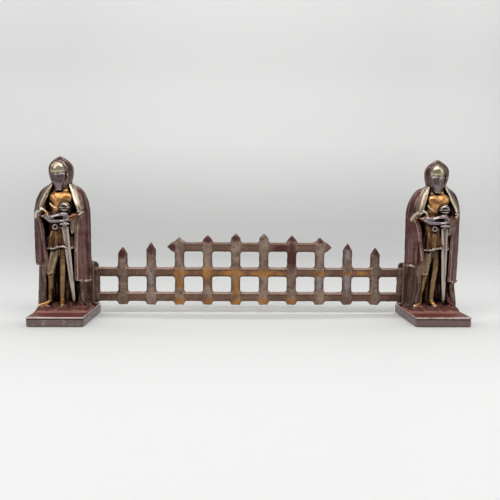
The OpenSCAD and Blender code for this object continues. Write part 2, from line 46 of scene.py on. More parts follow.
CAMERA_AT = Vector((-25.73, -790.34, 180.33)) * MM
CAMERA_PITCH, CAMERA_YAW, CAMERA_ROLL = 0.0993, 0.0313, 0.0080

ahead = Vector((math.sin(CAMERA_YAW) * math.cos(CAMERA_PITCH),
                math.cos(CAMERA_YAW) * math.cos(CAMERA_PITCH), -math.sin(CAMERA_PITCH)))
level = Vector((math.cos(CAMERA_YAW), -math.sin(CAMERA_YAW), 0))
upright = level.cross(ahead)
across = level * math.cos(CAMERA_ROLL) + upright * math.sin(CAMERA_ROLL)
upward = upright * math.cos(CAMERA_ROLL) - level * math.sin(CAMERA_ROLL)
camera = bpy.data.objects.new("camera", bpy.data.cameras.new("camera"))
camera.data.sensor_width = 36
camera.data.lens = 39.6
camera.matrix_world = Matrix((across, upward, -ahead)).transposed().to_4x4()
camera.location = CAMERA_AT
bpy.context.scene.collection.objects.link(camera)
bpy.context.scene.camera = camera
bpy.context.scene.view_settings.view_transform = "Standard"


class Wash:
    """A value or a colour inside a finish. Arithmetic on values adds Math nodes."""

    def __init__(self, tree, socket=None):
        self.tree, self.socket = tree, socket

    def node(self, kind, settings=None, inputs=None, out=0):
        """Any other shader node, with its settings and inputs, as the wash at one of its outputs."""
        made = self.tree.nodes.new("ShaderNode" + kind)
        for key, value in (settings or {}).items():
            if key == "stops":
                ramp = made.color_ramp
                while len(ramp.elements) < len(value):
                    ramp.elements.new(1)
                for element, (place, colour) in zip(ramp.elements, value):
                    element.position, element.color = place, (*colour, 1)
            else:
                setattr(made, key, value)
        for key, value in (inputs or {}).items():
            if isinstance(value, Wash):
                self.tree.links.new(value.socket, made.inputs[key])
            else:
                made.inputs[key].default_value = value
        return Wash(self.tree, made.outputs[out])

    def calculate(self, operation, a, b=None, clamp=False):
        """The result of one sum, worked out by a Math node."""
        inputs = {0: a} if b is None else {0: a, 1: b}
        return self.node("Math", {"operation": operation, "use_clamp": clamp}, inputs)

    def __add__(self, other):
        return self.calculate("ADD", self, other)

    def __sub__(self, other):
        return self.calculate("SUBTRACT", self, other)

    def __rsub__(self, other):
        return self.calculate("SUBTRACT", other, self)

    def __mul__(self, other):
        return self.calculate("MULTIPLY", self, other)

    __radd__, __rmul__ = __add__, __mul__

    def between(self, low, high):
        """0 below low, 1 above high, smooth in between."""
        return self.node("MapRange", {"interpolation_type": "SMOOTHSTEP"}, {0: self, 1: low, 2: high})

    def over(self, under, top):
        """Colour top where this mask is 1, colour under where it is 0."""
        under, top = ((*c, 1) if isinstance(c, tuple) else c for c in (under, top))
        return self.node("Mix", {"data_type": "RGBA"}, {0: self, 6: under, 7: top}, out=2)


def new_finish(name):
    """An empty material and the wash that its nodes start from."""
    finish = bpy.data.materials.new(name)
    finish.use_nodes = True
    finish.node_tree.nodes.clear()
    return finish, Wash(finish.node_tree)


def noise(wash, where, scale, detail, **more):
    """Random clouds of one scale, from 0 to 1."""
    return wash.node("TexNoise", inputs={"Vector": where, "Scale": scale, "Detail": detail, **more})


def lay_surface(wash, shader):
    """Joins the finished shader to the material's output."""
    end = wash.tree.nodes.new("ShaderNodeOutputMaterial")
    wash.tree.links.new(shader.socket, end.inputs["Surface"])


# Paper: matt white, with painted shade that greys it where the sweep bends up behind the object,
# and painted light towards both sides. The tones are (share, lightness) of the painted shade. The
# share is PAPER_START at the object and grows by PAPER_RUN for each metre back or up. The sweep's
# sizes are in metres.
PAPER_SHADE_TONES = ((0.03, 0.875), (0.065, 0.87), (0.09, 0.84), (0.12, 0.78), (0.17, 0.74), (0.24, 0.63),
               (0.32, 0.52), (0.42, 0.505), (0.54, 0.505), (0.61, 0.55), (0.66, 0.61), (0.74, 0.70),
               (0.82, 0.71), (0.9, 0.66))
PAPER_TINT, PAPER_SIDE_LIGHT = (0.995, 1.0, 0.985), (0.9, 0.905, 0.89)
PAPER_START, PAPER_RUN = 0.1364, 0.2273
SWEEP_FRONT, SWEEP_BACK, SWEEP_TOP, SWEEP_HALF, SWEEP_BEND = -1.6, 2.3, 2.6, 3.2, 0.9

run = [(SWEEP_FRONT, 0.0)]
run += [(SWEEP_FRONT + (SWEEP_BACK - SWEEP_BEND - SWEEP_FRONT) * k / 24, 0.0) for k in range(1, 24)]
run += [(SWEEP_BACK - SWEEP_BEND + SWEEP_BEND * math.sin(a), SWEEP_BEND * (1 - math.cos(a)))
        for a in (math.pi / 2 * k / 32 for k in range(33))]
run += [(SWEEP_BACK, SWEEP_TOP)]
points = [(x, y, z) for y, z in run for x in (-SWEEP_HALF, SWEEP_HALF)]
faces = [(2 * k, 2 * k + 1, 2 * k + 3, 2 * k + 2) for k in range(len(run) - 1)]
paper_mesh = bpy.data.meshes.new("paper_sweep")
paper_mesh.from_pydata(points, [], faces)
paper_mesh.polygons.foreach_set("use_smooth", [True] * len(faces))
paper = bpy.data.objects.new("paper_sweep", paper_mesh)
bpy.context.scene.collection.objects.link(paper)
finish, wash = new_finish("white_paper_painted_shade")
where = wash.node("TexCoord", out=3)
aside, depth, height = (wash.node("SeparateXYZ", inputs={0: where}, out=k) for k in range(3))
# Painted shade: the paper greys where the sweep bends up behind the object.
shade = wash.calculate("ADD", (depth + height) * PAPER_RUN, PAPER_START, clamp=True)
stops = [(place, tuple(tone * tint for tint in PAPER_TINT)) for place, tone in PAPER_SHADE_TONES]
tone = wash.node("ValToRGB", {"stops": stops}, {0: shade})
# Painted light: the paper is lighter towards both sides.
off_middle = wash.calculate("ABSOLUTE", aside + 0.02)
side_light_share = wash.calculate("DIVIDE", off_middle, depth + 0.75).between(0.27, 0.47) * 0.28
tone = side_light_share.over(tone, PAPER_SIDE_LIGHT)
lay_surface(wash, wash.node("BsdfPrincipled", inputs={"Base Color": tone, "Roughness": 0.9}))
paper_mesh.materials.append(finish)


def soft_lamp(name, at, aim, size, watts, colour=(1, 1, 1)):
    """A rectangular lamp behind the tent's cloth, turned to face a point."""
    lamp = bpy.data.lights.new(name, "AREA")
    lamp.shape, lamp.size, lamp.size_y, lamp.energy, lamp.color = "RECTANGLE", *size, watts, colour
    holder = bpy.data.objects.new(name, lamp)
    holder.location = at
    holder.rotation_euler = (Vector(aim) - Vector(at)).to_track_quat("-Z", "Y").to_euler()
    bpy.context.scene.collection.objects.link(holder)


soft_lamp("roof_lamp", (0, -0.7, 1.3), (0, 0.0, 0.1), (1.5, 0.6), 12)
soft_lamp("left_lamp", (-1.1, -0.9, 0.85), (-0.1, 0, 0.1), (0.6, 0.9), 4)
soft_lamp("right_lamp", (1.2, -0.7, 0.7), (0.1, 0, 0.1), (0.6, 0.9), 3)
soft_lamp("backdrop_lamp", (0, 0.75, 2.1), (0, 2.3, 0.7), (4.4, 0.8), 53)
world = bpy.data.worlds.new("tent")
bpy.context.scene.world = world
world.use_nodes = True
world.node_tree.nodes["Background"].inputs[0].default_value = (0.95, 0.96, 0.97, 1)
world.node_tree.nodes["Background"].inputs[1].default_value = 0.2

# ---- Knight castings ---- Both knights are casts of one carved figure, so it is modelled once,
# in mm, from the middle of the plinth's top. A Clay holds the distance to a form's surface on a
# grid of cells. Forms are pressed on or cut away with soft seams, and skin() turns the surface
# into faces.
COARSE = 1.0
# How far from a surface its distance is worked out, in mm
REACH = 9.0
CORNERS = np.array([[(k >> i) & 1 for i in range(3)] for k in range(8)])
EDGES = [(a, b) for a in range(8) for b in range(a + 1, 8) if (a ^ b) in (1, 2, 4)]


def share(values):
    """Values kept between 0 and 1."""
    return np.clip(values, 0, 1)


def curve(at, places, values):
    """A smooth curve through values at rising places, level past the ends."""
    steps = np.diff(values) / np.diff(places)
    slopes = np.concatenate((steps[:1], (steps[1:] + steps[:-1]) / 2, steps[-1:]))
    slopes[1:-1][steps[1:] * steps[:-1] <= 0] = 0
    at = np.clip(at, places[0], places[-1])
    k = np.clip(np.searchsorted(places, at, side="right") - 1, 0, len(places) - 2)
    width = places[k + 1] - places[k]
    t = (at - places[k]) / width
    return ((2 * t ** 3 - 3 * t ** 2 + 1) * values[k] + (t ** 3 - 2 * t ** 2 + t) * width * slopes[k]
            + (3 * t ** 2 - 2 * t ** 3) * values[k + 1] + (t ** 3 - t ** 2) * width * slopes[k + 1])


def soft_least(a, b, seam):
    """The lesser of two distances, blended where they differ by less than the seam."""
    near = np.maximum(seam - np.abs(a - b), 0) / seam
    return np.minimum(a, b) - near ** 2 * seam / 4


class Clay:
    """A block of modelling clay: the distance to a form's surface, negative inside it, at the
    points of a grid between two corners."""

    def __init__(self, low, high, cell):
        self.low, self.cell = np.array(low, float), cell * COARSE
        self.count = np.ceil((np.array(high) - self.low) / self.cell).astype(int) + 1
        self.field = np.full(self.count, REACH, np.float32)

    def window(self, low, high):
        """The slices of the grid near a box, and the coordinates of their points."""
        a = np.clip(((np.array(low) - REACH - self.low) / self.cell).astype(int), 0, self.count - 1)
        b = np.clip(((np.array(high) + REACH - self.low) / self.cell).astype(int) + 2, 1, self.count)
        axes = [(self.low[i] + self.cell * np.arange(a[i], b[i])).astype(np.float32) for i in range(3)]
        return tuple(slice(*ends) for ends in zip(a, b)), np.ix_(*axes)

    def grid(self):
        """The coordinates of all the grid's points."""
        return self.window(self.low, self.low + self.cell * self.count)[1]

    def press(self, form, seam=1.0):
        """Adds a form, with a fillet of about the seam's size where they meet."""
        part, (x, y, z) = self.window(*form[:2])
        self.field[part] = soft_least(self.field[part], form[2](x, y, z), seam)

    def cut(self, form, seam=0.6):
        """Takes a form away, with its edge softened by the seam."""
        part, (x, y, z) = self.window(*form[:2])
        self.field[part] = -soft_least(-self.field[part], form[2](x, y, z), seam)

    def depth(self, points):
        """The distance from points to the surface, from the eight grid values round each."""
        place = (points - self.low) / self.cell
        held = np.clip(place, 0, self.count - 1.001)
        base = held.astype(int)
        part = (held - base).astype(np.float32)
        total = self.cell * np.linalg.norm(place - held, axis=1)
        for corner in CORNERS:
            weight = np.prod(np.where(corner, part, 1 - part), axis=1)
            total = total + weight * self.field[tuple((base + corner).T)]
        return total

    def skin(self):
        """One point in each grid cell that the surface crosses, joined as quads. The skin is closed
        at the grid's ends, and only its largest connected part is kept."""
        for axis in range(3):
            ends = np.moveaxis(self.field, axis, 0)
            ends[[0, -1]] = np.maximum(ends[[0, -1]], 0.3)
        full = self.field < 0
        held = sum(full[tuple(slice(c, c + n - 1) for c, n in zip(corner, self.count))].astype(np.int8)
                   for corner in CORNERS)
        cells = np.argwhere((held > 0) & (held < 8))
        values = np.stack([self.field[tuple((cells + corner).T)] for corner in CORNERS], axis=1)
        total, hits = np.zeros((len(cells), 3)), np.zeros(len(cells))
        for a, b in EDGES:
            crossed = (values[:, a] < 0) != (values[:, b] < 0)
            gap = np.where(crossed, values[:, a] - values[:, b], 1)
            t = (values[:, a] / gap)[:, None]
            total += crossed[:, None] * (CORNERS[a] + t * (CORNERS[b] - CORNERS[a]))
            hits += crossed
        points = self.low + self.cell * (cells + total / hits[:, None])
        number = np.full(self.field.shape, -1, np.int64)
        number[tuple(cells.T)] = np.arange(len(cells))
        quads = []
        for axis in range(3):
            one, two = (axis + 1) % 3, (axis + 2) % 3
            starts, stops = (np.take(full, range(k, full.shape[axis] - 1 + k), axis) for k in (0, 1))
            for edges, turns in ((starts & ~stops, ((1, 1), (0, 1), (0, 0), (1, 0))),
                                 (~starts & stops, ((1, 1), (1, 0), (0, 0), (0, 1)))):
                edge = np.argwhere(edges)
                edge = edge[(np.delete(edge, axis, 1) > 0).all(1)]
                ring = []
                for back_one, back_two in turns:
                    cell = edge.copy()
                    cell[:, one] -= back_one
                    cell[:, two] -= back_two
                    ring.append(number[tuple(cell.T)])
                quads.append(np.stack(ring, axis=1))
        quads = np.concatenate(quads)
        part, joined = None, np.arange(len(points))
        while part is None or (part != joined).any():
            part, joined = joined, joined.copy()
            np.minimum.at(joined, part[quads].ravel(), np.repeat(part[quads].min(1), 4))
            joined = joined[joined]
        kept = quads[part[quads[:, 0]] == np.bincount(part[quads[:, 0]]).argmax()]
        used, quads = np.unique(kept, return_inverse=True)
        return points[used], quads.reshape(-1, 4)


def limb(*stations, flat=None, steps=3):
    """A round or flattened bar of changing radius through (x, y, z, radius) stations. flat is a
    direction and how many times thinner the bar is along it."""
    path = np.array(stations, float)
    if len(path) > 2:
        places = np.arange(len(path))
        fine = np.linspace(0, len(path) - 1, steps * (len(path) - 1) + 1)
        path = np.stack([curve(fine, places, column) for column in path.T], axis=1)
    widest = path[:, 3].max()

    def distance(x, y, z):
        nearest = np.float32(99)
        for a, b in zip(path, path[1:]):
            run = b[:3] - a[:3]
            t = ((x - a[0]) * run[0] + (y - a[1]) * run[1] + (z - a[2]) * run[2]) / (run @ run)
            t = share(t)
            dx, dy, dz = x - a[0] - t * run[0], y - a[1] - t * run[1], z - a[2] - t * run[2]
            square = dx * dx + dy * dy + dz * dz
            if flat:
                away = np.array(flat[0], float) / np.linalg.norm(flat[0])
                square = square + (flat[1] ** 2 - 1) * (dx * away[0] + dy * away[1] + dz * away[2]) ** 2
            nearest = np.minimum(nearest, np.sqrt(square) - (a[3] + t * (b[3] - a[3])))
        return nearest.astype(np.float32)
    return path[:, :3].min(0) - widest, path[:, :3].max(0) + widest, distance


def egg(at, radii):
    """An ellipsoid."""
    at, radii = np.array(at, float), np.array(radii, float)

    def distance(x, y, z):
        dx, dy, dz = x - at[0], y - at[1], z - at[2]
        k = np.sqrt((dx / radii[0]) ** 2 + (dy / radii[1]) ** 2 + (dz / radii[2]) ** 2)
        g = np.sqrt((dx / radii[0] ** 2) ** 2 + (dy / radii[1] ** 2) ** 2 + (dz / radii[2] ** 2) ** 2)
        return (k * (k - 1) / np.maximum(g, 1e-3)).astype(np.float32)
    return at - radii.max(), at + radii.max(), distance


def column(rows, wave=None, rim=1.5):
    """An upright form whose outline changes with height. Each row is (z, centre x, centre y,
    half width, reach in front, reach behind). wave(t, z) adds folds at angle t from +X, and the
    ends are rounded by the rim."""
    table = np.array(rows, float).T

    def distance(x, y, z):
        cx, cy, half, front, back = (curve(z, table[0], track).astype(np.float32) for track in table[1:])
        u, deep = x - cx, y - cy
        reach = np.where(deep < 0, front, back)
        k = np.sqrt((u / half) ** 2 + (deep / reach) ** 2) + 1e-4
        side = (k - 1) * np.hypot(u, deep) / k
        if wave:
            side = side - wave(np.arctan2(deep / reach, u / half), z)
        return -soft_least(-side, -np.maximum(z - table[0, -1], table[0, 0] - z), rim).astype(np.float32)
    low = (table[1] - table[3]).min() - 3, (table[2] - table[4]).min() - 3, table[0, 0]
    high = (table[1] + table[3]).max() + 3, (table[2] + table[5]).max() + 3, table[0, -1]
    return low, high, distance


def front_of(rows, x, z):
    """How far forward a column's surface lies at x and height z."""
    table = np.array(rows, float).T
    cx, cy, half, front = (curve(np.float64(z), table[0], track) for track in table[1:5])
    return cy - front * math.sqrt(max(1 - ((x - cx) / half) ** 2, 0.02))


def laid_on(rows, stations, proud=0.0):
    """Stations (x, z, radius) set on a column's front surface."""
    return [(x, front_of(rows, x, z) - proud, z, radius) for x, z, radius in stations]


def unevenness(x, y, z, size, depth, seed):
    """Slow waves like those that a sand mould leaves."""
    rng = np.random.default_rng(seed)
    total = 0
    for _ in range(7):
        kx, ky, kz = rng.normal(size=3) * 2 * math.pi / size
        total = total + np.sin(kx * x + ky * y + kz * z + rng.uniform(0, 6.3))
    return (total * depth / 2.6).astype(np.float32)


def soften(clay, size, depth, seed):
    """Works the unevenness into a finished form."""
    clay.field += unevenness(*clay.grid(), size, depth, seed)


BODY_ROWS = ((91, -2, 1, 25.5, 19.5, 13), (97, -2, 1, 24.8, 19, 13), (106, -2, 1, 21.5, 18.3, 12),
             (114, -2, 1, 18.8, 17.2, 11), (124, -2, 1, 18, 17, 11), (130, -2, 1, 19, 17, 11),
             (140, -2, 1, 20, 16.5, 12), (150, -1, 1, 19, 14, 12), (158, -1, 1, 19, 13, 12),
             (164, -1, 0, 18, 11, 11), (170, -0.6, -1, 14.5, 8.5, 10), (177, -0.6, -1, 12, 8, 10))
knight = Clay((-41, -28, -1), (38, 32, 181), 0.85)


def ground(x, y, z):
    """Broken ground that rises from the plinth's top to the feet."""
    rise = share((y + 26.5) / 13) * share((39 - np.abs(x + 1)) / 7)
    rise = rise * share((26 - y) / 8)
    height = 8.8 * rise * rise * (3 - 2 * rise) - 0.3
    rough = 1.1 * rise * unevenness(x, y, z, 9, 0.7, 31)
    return (np.maximum(z - height, -1 - z) * 0.75 + rough).astype(np.float32)


def skirt_pleats(t, z):
    """Shallow pleats that begin under the belt."""
    return share((112 - z) / 16) * (0.7 * np.cos(15 * t + 0.6) + 0.35 * np.cos(31 * t))


knight.press(((-40, -27, -1), (38, 29, 9), ground), 2)
# Skirt with pleats, hollow under its hem, and the body above it
knight.press(column(BODY_ROWS, wave=skirt_pleats), 1)
knight.cut(column(((80, -2, 1, 21, 16, 10), (90, -2, 1, 21, 15.5, 9), (98, -2, 1, 18, 12, 8))), 1)
knight.press(limb((-2, 13, 2, 10), (-2, 12, 98, 10)), 2)
for fold in (((-21, 113, 1), (-22.5, 104, 2), (-23, 93, 2.4)),
             ((-12.5, 113, 1), (-13.4, 104, 2), (-14, 92, 2.6)),
             ((-5.6, 112, 0.8), (-5, 104, 1.5), (-4.4, 93, 1.9)),
             ((15, 112, 1), (17, 102, 2), (18, 92, 2.2))):
    knight.press(limb(*laid_on(BODY_ROWS, fold)), 2.5)
for groove in (((-1.2, 109, 0.8), (-0.4, 101, 2.4), (0.4, 92, 3.2)), ((-17.5, 110, 1), (-18.4, 93, 2))):
    knight.cut(limb(*laid_on(BODY_ROWS, groove, 0.6)), 1.5)
hem_roll = limb(*laid_on(BODY_ROWS, (
    (-25.5, 91.5, 1), (-21, 90.5, 1.1), (-14, 89.7, 1.3), (-9, 90, 1.4), (-4, 91.8, 1.5), (2, 93, 1.4),
    (8, 91.2, 1.1), (15, 90, 1), (21, 91.2, 0.9)), 0.4))
knight.press(hem_roll, 1)
# Belt with its ring
knight.press(column([(z, -2, 1, half, front, 12) for z, half, front in (
    (118, 18.6, 17.4), (121, 19, 18), (124, 18.6, 17.6))], rim=1.2), 0.8)
ring = limb(*[(-6 + 3.1 * math.cos(a), -17.9, 120.6 + 3.1 * math.sin(a), 1.15)
              for a in np.linspace(0, 2 * math.pi, 13)])
knight.cut(egg((-6, -18.5, 120.6), (2.6, 2.6, 2.6)))
knight.press(ring, 0.5)
# Bent leg with a pointed, turned-out foot
thigh = limb((-9, -1, 98, 9), (-12, -5, 82, 8.6), (-15.6, -9.5, 64, 7), (-16.6, -10.5, 57, 6.4))
shin = limb((-16.8, -10, 55, 6), (-17.4, -8, 46, 5.2), (-18.6, -6.5, 34, 5), (-20, -6, 24, 4),
            (-20.4, -6, 15, 3.8))
knight.press(thigh, 2)
knight.press(shin, 2)
knight.press(egg((-16.6, -12.6, 58), (5.2, 4.6, 6)), 1.2)
knight.cut(limb((-25, -14.5, 51, 1.4), (-18, -18, 50.4, 2), (-11, -14, 51.4, 1.4)), 1)
left_foot = limb((-20.4, -5, 13, 4.4), (-23.5, -9, 11.2, 4.6), (-27, -13, 10, 3.5), (-31, -17, 9.2, 1.8))
knight.press(left_foot, 1)
# Standing leg and its foot
straight_leg = limb((2.4, -1, 98, 8.6), (1.6, -4, 80, 7), (0.4, -6, 62, 5.8), (-0.2, -5.5, 54, 5.4),
                    (-1, -4.5, 44, 5), (-2.2, -4.5, 28, 4.1), (-2.6, -4.5, 15, 3.6))
knight.press(straight_leg, 1.5)
middle_foot = limb((-2.6, -4, 14, 4), (-1.8, -8, 11.5, 4.2), (-0.4, -12, 10, 3.1), (0.3, -15.5, 9.2, 1.8))
knight.press(middle_foot, 1)
# Trailing hem of the robe on the viewer's right
trailing_hem = limb((23, 0, 24, 3.6), (24, -5, 15, 4.2), (25.5, -10, 11.4, 3.8), (28, -15.4, 9.2, 2.2))
knight.press(trailing_hem, 1)
# Breastplate over the body, with its lower edge undercut
breastplate = egg((0.6, -0.8, 158.5), (19.6, 14, 14.6))
knight.press(breastplate, 1.2)
chest = limb((-9, -7.6, 161, 6), (0, -9.6, 154, 6.4), (10, -7.4, 161, 6))
knight.press(chest, 7)
plate_edge = limb((-16.6, -7, 163, 0.8), (-15.8, -9.4, 155, 1), (-11.5, -11.8, 149, 1.1),
                  (-4, -13.6, 146.2, 1.1), (6, -13.6, 145.6, 1.1))
knight.press(plate_edge, 1.2)
knight.press(limb((-12, -2, 172, 1.2), (-7, -6.6, 168.2, 1.3), (-0.5, -9, 166.6, 1.4), (6, -7, 168.2, 1.3),
                  (11, -2, 172, 1.2)), 0.5)
# Arms behind the cuffs, the bell of the left cuff, and two rolled gauntlet edges at the grip
for arm in (((-23, 4, 160, 9.5), (-27, -6, 141, 6)),
            ((20, 4, 160, 9.5), (27, -1, 140, 6)),
            ((-31, -1, 139, 6), (-22, -9, 136.5, 5.8), (-10, -13.5, 132.5, 5.6), (5, -15.5, 132, 5.4)),
            ((26, -2, 139, 5.4), (22, -8.5, 137, 5), (16, -14, 133, 5), (10, -15.5, 131, 5)),
            ((-18, -13.5, 137.6, 4.6), (-24, -11, 139, 5.6))):
    knight.press(limb(*arm), 1)
knight.cut(egg((-26.5, -16.5, 140), (6, 5.6, 4)), 0.8)
knight.press(limb((-18.6, -16.6, 141.6, 1.3), (-16.4, -17.6, 139, 1.4), (-15.8, -18, 136, 1.3)), 0.6)
gauntlet_edges = [
    limb((-22, -14.5, 136, 2), (-16, -17.8, 134.8, 2.5), (-10, -19, 134.4, 2.6), (-4, -20, 135.8, 2.4),
         (2, -20.6, 137.2, 2.4), (8, -20.4, 137, 2.5), (11.5, -19, 135.6, 2.4)),
    limb((-20, -14, 132.6, 1.8), (-15, -17, 129.8, 2.3), (-10, -18.4, 128.4, 2.5), (-4, -19.6, 128.6, 2.5),
         (3, -20.2, 129.4, 2.5), (9.5, -19.8, 130, 2.6), (12.4, -18, 131, 2.2))]
for edge in gauntlet_edges:
    knight.press(edge, 0.6)
knight.cut(egg((1, -21.4, 132.9), (9, 5, 2.3)), 0.6)
knight.press(limb((1, -18.8, 139.2, 1.4), (6, -20.4, 140, 1.7), (11, -18.6, 139.2, 1.4)), 0.5)
# Loose sleeve hanging from the right forearm
sleeve_folds = [limb((17, -13.6, 137, 2.6), (15.4, -15, 129, 2.7), (15, -14.8, 120, 2.4),
                     (15.6, -13.4, 111, 1.4)),
                limb((21, -11.6, 137, 3), (19.8, -12.6, 127, 3), (19.6, -12, 117, 2.8),
                     (19.8, -10.8, 106, 1.6)),
                limb((25, -8.4, 137, 3), (24.4, -9.4, 126, 3), (24, -9, 114, 2.6), (24, -8, 102, 1.6))]
for fold in sleeve_folds:
    knight.press(fold, 1.6)
soften(knight, 12, 0.1, 21)


def paint(red, green, blue):
    """A colour from its 0 to 255 values on a screen."""
    return tuple((v / 255 / 12.92) if v < 10.3 else ((v / 255 + 0.055) / 1.055) ** 2.4
                 for v in (red, green, blue))


def lustre(name, deep, body, warm, pale, tones=(), gloss=0.3, metal=0.85, grain=1.0):
    """The lustrous lacquer on the castings: dark in the hollows and near other parts, which is partly
    patina and partly painted shade, pale on the edges, which is partly wear and partly painted
    highlight, and with clouds of a warmer tone. tones are (mark, colour, paler colour) for marked
    places; the paler colour on the edges and in patches is partly wear and partly painted highlight.
    Earth is duller than the rest."""
    deep, body, warm, pale = (paint(*colour) for colour in (deep, body, warm, pale))
    finish, wash = new_finish(name)
    where = wash.node("TexCoord", out=3)
    cloud = noise(wash, where, 48.0, 5.0, Distortion=0.6)
    mottle = noise(wash, where, 190.0, 5.0, Roughness=0.6)
    sand = noise(wash, where, 900.0, 3.0, Roughness=0.6)
    drawn_out = wash.node("Mapping", inputs={"Vector": where, "Scale": (260, 260, 30)})
    streak = noise(wash, drawn_out, 1.0, 3.0)
    recess, ridge, earth = (
        wash.node("Attribute", {"attribute_name": key}, out=2) for key in ("recess", "ridge", "ground"))
    # Pale edges and streaks: partly wear, partly painted highlight.
    pale_wear_and_highlight = (ridge + streak * 0.35 + mottle * 0.3 - 0.3).between(0.25, 0.62)
    tone = (cloud * 0.45 + mottle * 0.25 + streak * 0.3).between(0.42, 0.57).over(body, warm)
    tone = pale_wear_and_highlight.over(tone, pale)
    for mark_name, colour, paler in tones:
        place = wash.node("Attribute", {"attribute_name": mark_name}, out=2)
        place = (place + (mottle - 0.5) * 0.5).between(0.35, 0.65)
        # The paler colour on the edges and in patches is partly wear and partly painted highlight.
        paler_patch_wear_and_highlight = (pale_wear_and_highlight * 0.7 + (cloud + mottle) * 0.7 - 0.62).between(0.1, 0.6)
        tone = place.over(tone, paler_patch_wear_and_highlight.over(paint(*colour), paint(*paler)))
    # Painted shade with patina darkens the hollows and the places near other parts.
    tone = (recess + (mottle - 0.5) * 0.3).between(0.12, 0.62).over(tone, deep)
    rough = recess * 0.35 + earth * 0.25 + mottle * 0.25 + (gloss - 0.12)
    grit = mottle * 0.7 + sand * 0.16
    normal = wash.node("Bump", inputs={"Height": grit, "Distance": 0.0006 * grain, "Strength": 0.6})
    lay_surface(wash, wash.node("BsdfPrincipled", inputs={
        "Base Color": tone, "Metallic": earth * -0.4 + metal, "Roughness": rough, "Normal": normal,
        "Coat Weight": earth * -0.2 + 0.25, "Coat Roughness": 0.12}))
    return finish


# The thigh's tone is painted light and the shade tone is painted shade: lit and shaded copies of the legs'
# colour. The orange tone is a painted glint inside the left sleeve.
knight_finish = lustre(
    "knight_gold_lustre", (20, 9, 8), (124, 88, 52), (92, 54, 38), (172, 142, 98),
    tones=(("plate", (196, 142, 84), (252, 226, 170)), ("leg", (158, 136, 106), (200, 186, 164)),
           ("sleeve", (112, 92, 76), (160, 142, 122)),
           ("shade", (134, 102, 68), (212, 176, 126)), ("foot", (182, 132, 80), (244, 218, 168)),
           ("silvered", (138, 124, 128), (214, 204, 206)),
           ("hem", (120, 102, 98), (176, 160, 156)), ("cuff", (190, 96, 44), (226, 150, 90)),
           ("ground", (92, 48, 40), (156, 104, 92))), gloss=0.27)
# The thigh carries painted light, the shins and standing leg painted shade, and two spots in the left
# sleeve a painted orange glint.
knight_marks = {"sleeve": sleeve_folds, "plate": [breastplate, chest, plate_edge], "leg": [thigh],
                "shade": [shin, straight_leg], "foot": [left_foot, middle_foot], "ground": [trailing_hem],
                "silvered": gauntlet_edges, "hem": [hem_roll, ring],
                "cuff": [egg((-19, -16, 140), (4, 4, 3)), egg((-24.6, -13, 131), (4, 5, 3.4))]}

# ---- Cloaks ----
# A folded shell over the shoulders, open in front, with turned-back lapels, rolled hems that
# hang lower on the viewer's right, and a ridged robe below them that stands on the ground.
CLOAK_ROWS = ((38, -2, 3, 37.6, 19, 24.6), (65, -2, 3, 38.2, 19.5, 24.8), (92, -2, 3, 38.7, 20, 25),
              (140, -2, 3, 38.7, 20, 25), (150, -1.9, 3, 37.6, 19.4, 24.6), (157, -1.7, 3, 36, 18.6, 24),
              (164, -1.3, 3, 33.2, 17, 23), (169, -1, 3, 30.6, 15.6, 22), (173, -1, 3, 27.4, 14, 20.4),
              (177, -1, 2.6, 22, 12, 18), (180, -1, 2.2, 16, 11, 16), (182, -1, 1.8, 13.6, 10.4, 14))
ROBE_ROWS = ((4, -2, 3, 36.4, 19, 24), (12, -2, 3, 36, 18.8, 23.8), (17, -2, 3, 34.8, 18.4, 23.4),
             (22, -2, 3, 32.6, 18, 23), (30, -2, 3, 31.6, 17.6, 22.6), (64, -2, 3, 32.2, 17.6, 22.6),
             (96, -2, 3, 33, 17.6, 22.6))
FRONT_EDGES = {-1: ((40, -18.6), (67, -18.8), (85, -21), (103, -24.2), (116, -25.4), (127, -28),
                    (138, -32.6), (146, -31), (152, -27), (160, -22.5), (169, -17.5), (177, -12),
                    (185, -9)),
               1: ((40, 20), (67, 20.2), (103, 20.8), (118, 21.4), (130, 24), (138, 26.5), (146, 25.5),
                   (152, 23.4), (160, 19.8), (169, 16), (177, 12), (185, 8))}


def edge_at(side, z):
    """Where the cloak's front edge runs on one side at height z."""
    places, values = np.array(FRONT_EDGES[side], float).T
    return curve(z, places, values)


def grow_rows(rows, more):
    """A column's rows, made larger all round."""
    return [(z, cx, cy, half + more, front + more, back + more) for z, cx, cy, half, front, back in rows]


def doorway(left, right, low, high):
    """The space in front of the figure between two front edges, for cutting."""
    def distance(x, y, z):
        return np.maximum(np.maximum(left(z) - x, x - right(z)), y - 1).astype(np.float32)
    return (-40, -30, low), (38, 4, high), distance


def cloak_folds(t, z):
    """Long broad folds with finer ones between, which fade out at the shoulders."""
    deep = np.interp(z, (60, 120, 160, 183), (1.0, 0.85, 0.45, 0.15)).astype(np.float32)
    broad = np.sqrt(np.sin(6.5 * t + 0.7 * np.sin(2 * t + z / 60) + 0.4) ** 2 + 0.04) - 0.65
    return deep * (2.2 * broad + 0.5 * np.cos(17 * t + 1 + z / 40) + 0.15 * np.cos(37 * t + z / 25))


def hem_height(x, y):
    """How high the cloak's hem hangs at each place round the figure."""
    t = np.arctan2(y - 3, x + 2)
    return 43.5 + 22 * share((np.abs(t) - 0.5) / 2.0) + 0.7 * np.cos(17 * t)


def robe_pleats(t, z):
    """Even pleats with sharp valleys, a little wavy."""
    return 1.2 * np.sqrt(np.sin(13 * t + 0.4 * np.sin(z / 9)) ** 2 + 0.04) - 0.7


